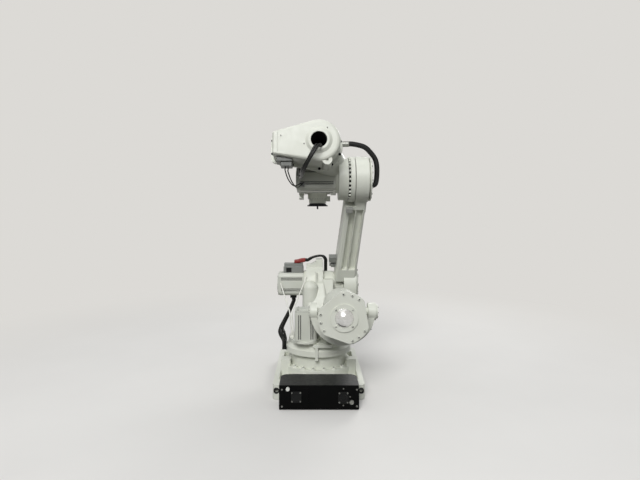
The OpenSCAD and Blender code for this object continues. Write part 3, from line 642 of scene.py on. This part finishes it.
def terminal_boot():
    """The red connector hood on the terminal box: a round-edged body that narrows to its cable."""
    points = []
    for y, half, high, middle in BOOT_ROWS:
        for a in angles(BOOT_SIDES):
            c, d = math.cos(a), math.sin(a)
            soft = (abs(c) ** BOOT_SQUARENESS + abs(d) ** BOOT_SQUARENESS) ** (-1 / BOOT_SQUARENESS)
            z = TERMINAL_TOP + SEAT + middle + high / 2 * soft * d
            points.append(mm(AXIS2_X + half * soft * c, y, z))
    faces = loft_faces(len(BOOT_ROWS), BOOT_SIDES)
    piece = new_piece("terminal_boot", points, faces, RED_PLASTIC, "frame")
    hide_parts("terminal_cap")


def boot_relief(route):
    """The tapered black sleeve where the bundle leaves its red hood."""
    steps = len(route) - 1
    radii = [RELIEF_WIDE + (RELIEF_NARROW - RELIEF_WIDE) * i / steps for i in range(steps + 1)]
    new_piece("boot_relief", *tube_mesh(route, radii), RUBBER, "frame")


def passage_cables():
    """Two cables from the hole in the gear cover, round under it to the axis 3 motor."""
    low = RISE - PASSAGE_R + 16
    under = RISE - COVER_R - COVER_RIM - CABLE_D
    plug = MOTOR3_END - 12
    side = -MOTOR_HALF - 42 - SEAT
    routes = []
    for i in (0, 1):
        local = [
            mm(-COVER_BACK + 120, 14 - 28 * i, low), mm(-COVER_BACK - 26 - 4 * i, 15 - 28 * i, low),
            mm(-COVER_BACK - 50 - 26 * i, 36 - 22 * i, low - 26 - 6 * i),
            mm(-COVER_BACK - 40 - 30 * i, 84 - 10 * i, under + 44 - 12 * i),
            mm(-COVER_BACK + 40 - 20 * i, 124 - 10 * i, under - 4 - 24 * i),
            mm(-COVER_SPLIT - 20, plug - 12, under - 10 - 28 * i), mm(side - 60, plug, 44 - 28 * i),
            mm(side - 28, plug, 44 - 28 * i), mm(side, plug, 44 - 28 * i)]
        routes.append([AT_3 @ p for p in local])
    tubes("passage_cable_pair", routes, CABLE_D, CABLE, "arm_house", "passage_cables")


def motor_leads():
    """Two thin leads from the connector under the gear cover to the axis 3 motor."""
    end = MOTOR3_END
    top = RISE - COVER_DROP - COVER_H / 2 - 74 - SEAT
    side = -MOTOR_HALF - 26 - SEAT
    routes = []
    for i in (0, 1):
        x = -COVER_BACK + 90 + 40 * i
        y = COVER_LEFT - 96 - 20 * i
        local = [
            mm(x, y, top), mm(x, y, top - 14), mm(x, y, top - 32),
            mm(-COVER_BACK + 140 + 40 * i, COVER_LEFT - 118 - 24 * i, -76 - 6 * i),
            mm(-COVER_BACK + 240 + 30 * i, end + 30 - 22 * i, -104 - 8 * i),
            mm(side - 46, end - 22 - 16 * i, -70), mm(side - 24, end - 22 - 16 * i, -66),
            mm(side - 12, end - 22 - 16 * i, -66), mm(side, end - 22 - 16 * i, -66)]
        routes.append([AT_3 @ p for p in local])
    tubes("motor_lead_pair", routes, LEAD_D, CABLE, "arm_house", "motor_leads")


# The white cords: the rise and gap of one's tie on the gear housing, and the points above the foot
TIE_RISE, TIE_GAP, LEAD_IN = 88, 6, 4


def frame_cords():
    """Two white cords that meet below the axis 2 motor and run down side by side."""
    motor_side = AXIS2_X - MOTOR_HALF - SEAT
    rear = AXIS2_X - math.sqrt((GEAR2_R + SEAT + TIE_GAP) ** 2 - TIE_RISE ** 2)
    tops = {1: mm(motor_side - 18.4, MOTOR2_END - 14, AXIS2_Z + 5),
            -1: mm(rear - 1, GEAR2_LEFT - 6, AXIS2_Z + TIE_RISE)}
    foot = [(-50, 238, TURN_TOP + 208, 5), (-66, 232, TURN_TOP + 120, 4), (-80, 225, TURN_TOP + 56, 1),
            (-80, 225, TURN_TOP + 32, 1), (-80, 225, TURN_TOP + 12 + SEAT, 1)]
    routes = []
    for side, top in tops.items():
        low = [mm(x, y + side * (CORD_D / 2 + apart), z) for x, y, z, apart in foot]
        routes.append([top.lerp(low[0], k / LEAD_IN) for k in range(LEAD_IN)] + low)
    tubes("frame_cord_pair", routes, CORD_D, WHITE_CORD, "frame", "frame_cords")
    block("cord_clip", mm(motor_side - 14, MOTOR2_END - 22, AXIS2_Z - 4),
          mm(motor_side, MOTOR2_END - 6, AXIS2_Z + 14), WHITE_CORD, "frame")
    block("cord_foot", mm(-90, 210, TURN_TOP), mm(-70, 240, TURN_TOP + 12), WHITE_CORD, "frame")


# The terminal box, in metres: its rear face, the socket on it, and a dark strip of painted shade below
# it
TERMINAL_FACE_X, TERMINAL_INSET = 0.276, 0.016
PORT_LOW = (TERMINAL_FACE_X - 0.0025, 0.248, 0.888)
PORT_HIGH = (TERMINAL_FACE_X + 0.003, 0.297, 0.925)
PORT_BEVEL, SHADE_STRIP_BEVEL = 0.001, 0.0008
SHADE_STRIP_PROUD, SHADE_STRIP_INSET = 0.0015, 0.004
SHADE_STRIP_LOW, SHADE_STRIP_HIGH = 0.0002, 0.0035


def terminal_port():
    """The black socket low on the terminal box, and a dark strip of painted shade where the box stands
    on the motor.
    """
    block("terminal_port", PORT_LOW, PORT_HIGH, BLACK_PLASTIC, "frame", PORT_BEVEL)
    low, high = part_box("motor_terminal_box")
    block("terminal_shade_strip",
          (TERMINAL_FACE_X - SHADE_STRIP_PROUD, low[1] + SHADE_STRIP_INSET, low[2] + SHADE_STRIP_LOW),
          (high[0] - TERMINAL_INSET, high[1] - SHADE_STRIP_INSET, low[2] + SHADE_STRIP_HIGH),
          RUBBER, "frame", SHADE_STRIP_BEVEL)


# The arm hose: its fitting in millimetres, and its ferrule's end and wall in metres
FITTING_AT = (-60, 0, 90)
FERRULE_END, FERRULE_WALL = -0.256, 0.0025


def arm_hose():
    """The hose over axis 3: its ends stay in the lower arm's gland and the housing's fitting."""
    fitting = (AT_4 @ mm(*FITTING_AT)) * 1000
    fx, fz = fitting[0], fitting[2]
    ax, az = AXIS3_X, AXIS3_Z
    route = smooth_route([
        mm(fx, -177, fz), mm(fx, -200, fz), mm(fx, -230, fz), mm(fx, -290, fz),
        mm(fx + 4, -382, fz - 22), mm(fx + 8, -HEAD_OUT - 20, fz - 64),
        mm(fx + 12, -HEAD_OUT - 64, fz - 124), mm((fx + ax) / 2, -HEAD_OUT - 78, fz - 190),
        mm(ax, -HEAD_OUT - 78, az + 20), mm(ax, -HEAD_OUT - 68, az - 34),
        mm(ax, -HEAD_OUT - 46, az - 50), mm(ax, -HEAD_OUT - 27, az - 50),
        mm(ax, -HEAD_OUT - 9, az - 50)])
    in_ferrule = [p[1] > FERRULE_END for p in route]
    radii = [HOSE_D / 2000 + (FERRULE_WALL if inside else 0) for inside in in_ferrule]
    piece = new_piece("arm_hose_tube", *tube_mesh(route, radii, HOSE_SIDES), HOSE_SLEEVE, None)
    piece.data.materials.append(ZINC)
    for polygon in list(piece.data.polygons)[:HOSE_SIDES * sum(in_ferrule)]:
        polygon.material_index = 1
    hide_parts("arm_hose")
    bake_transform(piece)


frame_harness()
top_harness()
passage_cables()
motor_leads()
frame_cords()
terminal_port()
arm_hose()

# Fasteners: one template per kind, copied to every place and joined by body
SCREW_SIDES = 18


def hexagon(angle):
    """Radius of a hexagon of unit inner radius in a direction."""
    return 1 / math.cos((angle + math.pi / 6) % (math.pi / 3) - math.pi / 6)


def turned(profile, recess=None, sides=SCREW_SIDES):
    """Points, faces and recess faces of (radius, height, is_hexagon) rows turned about Z.

    The recess runs from the row with that index to the last row.
    """
    points = []
    for radius, height, is_hexagon in profile:
        for a in angles(sides):
            r = radius * (hexagon(a) if is_hexagon else 1)
            points.append(Vector((r * math.cos(a), r * math.sin(a), height)))
    walls = (len(profile) - 1) * sides
    last_end = walls + 1
    inside = [] if recess is None else list(range(recess * sides, walls)) + [last_end]
    return points, loft_faces(len(profile), sides), inside


# Each template has a head of unit radius that stands on Z = 0
SOCKET_SCREW = turned([
    (1.35, -0.05, False), (1.35, 0.14, False), (1.0, 0.14, False), (1.0, 0.86, False),
    (0.88, 1.0, False), (0.5, 1.0, True), (0.5, 0.45, True), (0.1, 0.42, False)], recess=5)
TALL_SCREW = turned([
    (1.0, -0.05, False), (1.0, 1.65, False), (0.88, 1.8, False), (0.5, 1.8, True), (0.5, 1.2, True),
    (0.1, 1.18, False)], recess=4)
FLAT_SCREW = turned([
    (1.0, -0.05, False), (1.0, 0.25, False), (0.86, 0.42, False), (0.45, 0.46, True),
    (0.45, 0.16, True), (0.1, 0.14, False)], recess=3)
NIPPLE = turned([
    (1.0, -0.1, True), (1.0, 0.7, True), (0.62, 0.85, False), (0.62, 1.7, False), (0.8, 1.9, False),
    (0.8, 2.3, False), (0.4, 2.6, False), (0.1, 2.65, False)])

# A ring of fasteners: its radius, their number, the first one's angle and the radius of a head
Ring = namedtuple("Ring", "radius count phase head")


def fasteners(name, template, places, head, material, body):
    """One piece with a copy of the template at each place, its recesses dark with painted shade."""
    points, faces, inside = template
    copies = [([m @ (p * head) for p in points], faces) for m in places]
    piece = new_piece(name, *joined(copies), material, body, smooth=False)
    piece.data.materials.append(SOCKET_SHADE)
    for k in range(len(places)):
        for i in inside:
            piece.data.polygons[k * len(faces) + i].material_index = 1


def ring_places(base, ring):
    """Places on a ring round a matrix's Z axis, facing along it."""
    places = []
    for a in angles(ring.count):
        turn = math.radians(ring.phase) + a
        spot = (ring.radius * math.cos(turn), ring.radius * math.sin(turn), 0)
        places.append(base @ Matrix.Translation(spot))
    return places


def side_ring(at, y, out, ring):
    """Places round a local Y axis, on a face that looks along out, which is 1 or -1."""
    return ring_places(at @ facing((0, y, 0), (0, out, 0)), ring)


def end_places(base, spots):
    """Places at (y, z) spots on a face that looks back along a local X axis."""
    return [base @ facing((0, y, z), (-1, 0, 0)) for y, z in spots]


def along_x(distance):
    return Matrix.Translation((distance, 0, 0))


def four(dy, dz, y=0.0, z=0.0):
    """The corners of a rectangle of half sides dy and dz round a spot."""
    return [(y + sy * dy, z + sz * dz) for sy in (-1, 1) for sz in (-1, 1)]


# The foot: its bolt ring, which leaves out the lugs, and the screws of the connector panel
FOOT_TOP = 0.150
BASE_RING = Ring(radius=0.276, count=20, phase=9, head=0.0165)
LUG_X, LUG_HALF, LUG_Y = -0.120, 0.066, 0.225
PANEL_X, PLATE_PROUD = -0.700, 0.0075
PANEL_CORNERS = ((-0.279, 0.150), (-0.279, 0.028), (0.273, 0.150), (0.273, 0.026))
PLATE_SPOTS = four(0.0305, 0.032, 0.168, 0.097) + four(0.030, 0.034, -0.180, 0.092)
PANEL_SPOTS = ((-0.180, 0.157), (-0.180, 0.033), (-0.229, 0.098))
PANEL_CORNER_HEAD, PLATE_HEAD, PANEL_HEAD = 0.0068, 0.0055, 0.005


def clear_of_lugs(place):
    x, y, _ = place.translation
    return abs(x - LUG_X) > LUG_HALF or abs(y) < LUG_Y


def base_fasteners():
    ring = ring_places(Matrix.Translation((0, 0, FOOT_TOP)), BASE_RING)
    clear = [place for place in ring if clear_of_lugs(place)]
    fasteners("ring_bolts", SOCKET_SCREW, clear, BASE_RING.head, PAINT, "base")
    panel = along_x(PANEL_X)
    plate = along_x(PANEL_X - PLATE_PROUD)
    for name, face, spots, head in (("panel_corner_screws", panel, PANEL_CORNERS, PANEL_CORNER_HEAD),
                                    ("connector_screws", plate, PLATE_SPOTS, PLATE_HEAD),
                                    ("panel_screws", panel, PANEL_SPOTS, PANEL_HEAD)):
        fasteners(name, FLAT_SCREW, end_places(face, spots), head, ZINC, "base")


# The balance device: bolts of its three-sided cover and of its domed cap, and a grease nipple
BALANCE_R = 0.198
BALANCE_BOLT_R, BALANCE_HEAD = 0.905 * BALANCE_R, 0.0088
BALANCE_BOLT_ANGLES = (92, 70, 51.5, 171, 191, 211.5, -70, -52.7, -32)
BALANCE_FACE, DOME_FACE = -0.250, -0.2583
DOME_BOLT_R, DOME_HEAD = 0.088, 0.0065
NIPPLE_AT, NIPPLE_TOWARDS, NIPPLE_R = (BALANCE_FACE + 0.012, 0.021, 0.1965), (0, 0.11, 1), 0.006


def balance_fasteners():
    body = "balance_cylinder"
    turns = [math.radians(a) for a in BALANCE_BOLT_ANGLES]
    spots = [(-BALANCE_BOLT_R * math.cos(a), BALANCE_BOLT_R * math.sin(a)) for a in turns]
    cover = end_places(AT_BALANCE @ along_x(BALANCE_FACE), spots)
    fasteners("cover_bolts", SOCKET_SCREW, cover, BALANCE_HEAD, PAINT, body)
    side = DOME_BOLT_R * math.sqrt(0.5)
    cap = end_places(AT_BALANCE @ along_x(DOME_FACE), four(side, side))
    fasteners("cap_bolts", SOCKET_SCREW, cap, DOME_HEAD, PAINT, body)
    top = AT_BALANCE @ facing(NIPPLE_AT, NIPPLE_TOWARDS)
    fasteners("grease_nipple", NIPPLE, [top], NIPPLE_R, WHITE_PLASTIC, body)


# The arm housing: bolts round the gear cover's rim, screws on its face and bolts round the hub
FULL_TURN, TINY = 360, 1e-9
COVER_CORNER_R = 0.024
RIM_FACE, RIM_OUT, RIM_START = -(COVER_SPLIT + 30) / 1000, 0.012, 0.02
RIM_BOLTS, RIM_HEAD = 14, 0.008
FACE_SPOTS, FACE_HEAD = ((0.286, 0.034), (-0.064, 0.094), (0.111, -0.030)), 0.006
HUB_FACE, HUB_R = -0.263, 0.176
HUB_RING = Ring(radius=0.1815, count=32, phase=0, head=0.0085)


def outline_walk(count, more, start):
    """Evenly spaced points on the gear cover's outline, grown by more."""
    ends = COVER_H / 2000 - COVER_CORNER_R
    left, middle = COVER_LEFT / 1000 - COVER_CORNER_R, -COVER_DROP / 1000
    circles = [((0, 0), COVER_R / 1000 + more)]
    circles += [((left, s * ends + middle), COVER_CORNER_R + more) for s in (-1, 1)]
    points = []
    for degree in range(FULL_TURN + 1):
        n = (math.cos(math.radians(degree)), math.sin(math.radians(degree)))
        (cy, cz), r = max(circles, key=lambda c: c[0][0] * n[0] + c[0][1] * n[1] + c[1])
        points.append(Vector((cy + r * n[0], cz + r * n[1])))
    lengths = [(b - a).length for a, b in zip(points, points[1:])]
    total = sum(lengths)
    found = []
    for k in range(count):
        goal = (start + k / count) % 1 * total
        i = 0
        while goal > lengths[i]:
            goal -= lengths[i]
            i += 1
        found.append(points[i].lerp(points[i + 1], goal / max(lengths[i], TINY)))
    return found


def house_fasteners():
    body = "arm_house"
    rim = end_places(AT_4 @ along_x(RIM_FACE), outline_walk(RIM_BOLTS, RIM_OUT, RIM_START))
    fasteners("gear_cover_bolts", SOCKET_SCREW, rim, RIM_HEAD, BLACK_OXIDE, body)
    face = end_places(AT_4 @ along_x(-COVER_BACK / 1000), FACE_SPOTS)
    fasteners("gear_cover_screws", FLAT_SCREW, face, FACE_HEAD, ZINC, body)
    hub = side_ring(AT_3, HUB_FACE, 1, HUB_RING)
    fasteners("hub_bolts", TALL_SCREW, hub, HUB_RING.head, PAINT, body)


# A dark band of painted shade round the hub, and a black cup of painted shade inside the cable hole
SHADE_BAND_SIDES, SHADE_CUP_SIDES = 96, 48
SHADE_BAND_LIFT, SHADE_BAND_IN, SHADE_BAND_OUT = 0.0002, HUB_R - 0.002, HUB_R + 0.0016
SHADE_BAND_EDGE, SHADE_BAND_WIDTH = 0.017, 0.0185


def hub_shade_band():
    """A dark band round the hub, under the heads of its bolts: painted shade between and behind the
    heads.
    """
    rows = [(SHADE_BAND_IN, 0.0), (SHADE_BAND_OUT, 0.0), (SHADE_BAND_OUT, SHADE_BAND_EDGE), (SHADE_BAND_IN, SHADE_BAND_WIDTH)]
    points, faces, _ = turned([(r, h, False) for r, h in rows], sides=SHADE_BAND_SIDES)
    last = (len(rows) - 1) * SHADE_BAND_SIDES
    following = [(k + 1) % SHADE_BAND_SIDES for k in range(SHADE_BAND_SIDES)]
    inner = [(last + k, last + n, n, k) for k, n in enumerate(following)]
    at = AT_3 @ facing((0, HUB_FACE + SHADE_BAND_LIFT, 0), (0, 1, 0))
    new_piece("hub_shade_band", [at @ q for q in points], faces[:-2] + inner, RUBBER, "arm_house")


SHADE_CUP_R, SHADE_CUP_WALL = PASSAGE_R / 1000 - 0.0008, 0.003
SHADE_CUP_MOUTH, SHADE_CUP_BOTTOM = -COVER_BACK / 1000 - 0.010, -(COVER_SPLIT + 43) / 1000


def passage_shade_cup():
    """A black cup of painted shade inside the cable hole, open at the hole's mouth."""
    inner = SHADE_CUP_R - SHADE_CUP_WALL
    rows = [(inner, SHADE_CUP_BOTTOM - SHADE_CUP_WALL), (inner, SHADE_CUP_MOUTH), (SHADE_CUP_R, SHADE_CUP_MOUTH),
            (SHADE_CUP_R, SHADE_CUP_BOTTOM)]
    points, faces, _ = turned([(r, h, False) for r, h in rows], sides=SHADE_CUP_SIDES)
    at = AT_4 @ facing((0, 0, 0), (1, 0, 0))
    new_piece("passage_shade_cup", [at @ q for q in points], faces, HOLE_SHADE_BLACK, "arm_house")


# Motors: their widths, the step of their end caps, and the corner screws as shares of the width
MOTOR1_W, MOTOR_W = 0.186, 2 * MOTOR_HALF / 1000
CAP_STEP = 0.008
SCREW_SHARE, HEAD_SHARE = 1.04 / 3, 1 / 34


def motor_screws(name, at, width, face, body):
    """Four screws in the corners of a motor's end cap, whose axis is the matrix's Z."""
    side = width * SCREW_SHARE
    places = [at @ Matrix.Translation((x, y, face - CAP_STEP)) for x, y in four(side, side)]
    fasteners(name, SOCKET_SCREW, places, width * HEAD_SHARE, ZINC, body)


def motor_fasteners():
    low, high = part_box("axis1_motor_cap")
    middle = (low + high) / 2
    upright = Matrix.Translation((middle[0], middle[1], 0))
    motor_screws("axis1_motor_screws", upright, MOTOR1_W, high[2], "frame")
    left = facing((0, 0, 0), (0, 1, 0))
    for axis, at, body in ((2, Matrix.Translation(AXIS_2), "frame"), (3, AT_3, "arm_house")):
        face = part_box(f"axis{axis}_motor_cap")[1][1]
        motor_screws(f"axis{axis}_motor_screws", at @ left, MOTOR_W, face, body)


# The lower arm's covers, at its foot and its head
FOOT_FACE, FOOT_INNER, HEAD_FACE = -0.361, -0.371, -0.435
FOOT_RING = Ring(radius=0.150, count=12, phase=0, head=0.009)
FOOT_INNER_RING = Ring(radius=0.090, count=6, phase=30, head=0.007)
HEAD_RING = Ring(radius=0.160, count=16, phase=0, head=0.008)


def arm_fasteners():
    at_head = AT_2 @ Matrix.Translation((0, 0, LOWER_LEN))
    for name, at, y, ring in (("foot_cover_bolts", AT_2, FOOT_FACE, FOOT_RING),
                              ("foot_inner_bolts", AT_2, FOOT_INNER, FOOT_INNER_RING),
                              ("head_cover_bolts", at_head, HEAD_FACE, HEAD_RING)):
        fasteners(name, SOCKET_SCREW, side_ring(at, y, -1, ring), ring.head, ZINC, "lower_arm")


# The wrist: bolts round the neck of the tilt housing and on the covers of the fork
NECK_STEP, FORK_FACE = 0.168, 0.210
NECK_RING = Ring(radius=0.099, count=24, phase=0, head=0.0042)
FORK_RING = Ring(radius=0.084, count=8, phase=22.5, head=0.0075)


def wrist_fasteners():
    neck = ring_places(AT_5 @ facing((NECK_STEP, 0, 0), (1, 0, 0)), NECK_RING)
    fasteners("neck_bolts", SOCKET_SCREW, neck, NECK_RING.head, ZINC, "wrist")
    fork = side_ring(AT_5, FORK_FACE, 1, FORK_RING) + side_ring(AT_5, -FORK_FACE, -1, FORK_RING)
    fasteners("fork_cover_bolts", SOCKET_SCREW, fork, FORK_RING.head, ZINC, "forearm_body")


# The balance yoke: bolts of its trunnion covers, and a grease nipple low on its right side
TRUNNION_RING = Ring(radius=0.042, count=6, phase=0, head=0.006)
YOKE_R, YOKE_NIPPLE_R = 0.2545, 0.008
YOKE_OUT = Vector((0, -0.85, -0.53)).normalized()


def frame_fasteners():
    low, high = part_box("trunnion_covers")
    at = Matrix.Translation((TRUNNION[0], 0, TRUNNION[2]))
    places = side_ring(at, low[1], -1, TRUNNION_RING) + side_ring(at, high[1], 1, TRUNNION_RING)
    fasteners("trunnion_bolts", SOCKET_SCREW, places, TRUNNION_RING.head, ZINC, "frame")
    side = facing(TRUNNION + YOKE_OUT * YOKE_R, YOKE_OUT)
    fasteners("yoke_nipple", NIPPLE, [side], YOKE_NIPPLE_R, WHITE_PLASTIC, "frame")


base_fasteners()
balance_fasteners()
house_fasteners()
hub_shade_band()
passage_shade_cup()
motor_fasteners()
arm_fasteners()
wrist_fasteners()
frame_fasteners()

# Stage and light
BACKDROP = "#dcdad6"
FLOOR = "#e2e0dc"
FLOOR_SIZE, FLOOR_DROP = 80.0, 0.0005
FLOOR_MOTTLE, FLOOR_BOUNCE = 0.97, 0.15
FADE_NEAR, FADE_FAR = 1.6, 5.0
SKY_TINT = (0.93, 0.96, 1.0, 1)
SKY_FROM, SKY_LIGHT = -0.3, (0.10, 0.50)
MIDDLE = (CAD_BOX[0] + CAD_BOX[1]) / 2

# Each lamp's name, place, size and power. All look at the middle of the object
LAMPS = (
    ("ceiling", (-0.6, 0.8, 6.0), (5.0, 5.0), 40),
    ("key", (-14.0, 2.8, 11.0), (8.0, 6.0), 2120),
    ("far_side", (7.0, -3.5, 5.0), (4.0, 3.0), 270),
)


def make_floor():
    """A pale floor that keeps the object's shadow and sends little light back up."""
    mesh = bpy.data.meshes.new("floor")
    h = FLOOR_SIZE / 2
    mesh.from_pydata([(-h, -h, 0), (h, -h, 0), (h, h, 0), (-h, h, 0)], [], [(0, 1, 2, 3)])
    floor = show(bpy.data.objects.new("floor", mesh))
    floor.location[2] = CAD_BOX[0][2] - FLOOR_DROP
    s = Shader("floor")
    pale = linear(FLOOR)
    tone = s.ramp(s.noise(scale=1.2, detail=5.0), 0.3, dimmed(pale, FLOOR_MOTTLE), 0.7, pale)
    path = s.add("ShaderNodeLightPath").outputs
    s.colour(s.mix(path["Is Diffuse Ray"], tone, dimmed(pale, FLOOR_BOUNCE)))
    s.set(Roughness=0.9, Specular_IOR_Level=0.05)
    fade_to_backdrop(s)
    mesh.materials.append(s.material)


def fade_to_backdrop(s):
    """Far from the object the floor takes the backdrop's colour, in the picture and in reflections."""
    distance = s.vector_math("LENGTH", "Value", s.coords)
    far = s.map_range(distance, FADE_NEAR, FADE_FAR, interpolation_type="SMOOTHSTEP")
    glow = s.add("ShaderNodeEmission")
    glow.inputs["Color"].default_value = linear(BACKDROP)
    s.output_mix(s.combine("MULTIPLY", far, s.seen()), s.out, glow, "Material Output")


def make_world():
    """Soft light that grows towards the zenith, behind a plain backdrop."""
    world = bpy.data.worlds.new("studio")
    world.use_nodes = True
    sky = Nodes(world.node_tree)
    light = world.node_tree.nodes["Background"]
    light.inputs["Color"].default_value = SKY_TINT
    direction = sky.add("ShaderNodeSeparateXYZ")
    sky.link(sky.add("ShaderNodeTexCoord").outputs["Generated"], direction.inputs[0])
    rise = sky.map_range(direction.outputs["Z"], SKY_FROM, 1.0, *SKY_LIGHT)
    sky.link(rise, light.inputs["Strength"])
    shown = sky.add("ShaderNodeBackground")
    shown.inputs["Color"].default_value = linear(BACKDROP)
    sky.output_mix(sky.seen(), light, shown, "World Output")
    bpy.context.scene.world = world


def area_light(name, where, size, power):
    data = bpy.data.lights.new(name, "AREA")
    data.shape = "RECTANGLE"
    data.size, data.size_y = size
    data.energy = power
    lamp = show(bpy.data.objects.new(name, data))
    lamp.location = where
    lamp.rotation_euler = (MIDDLE - Vector(where)).to_track_quat("-Z", "Y").to_euler()


make_floor()
make_world()
for lamp in LAMPS:
    area_light(*lamp)
bpy.context.scene.view_settings.view_transform = "Standard"
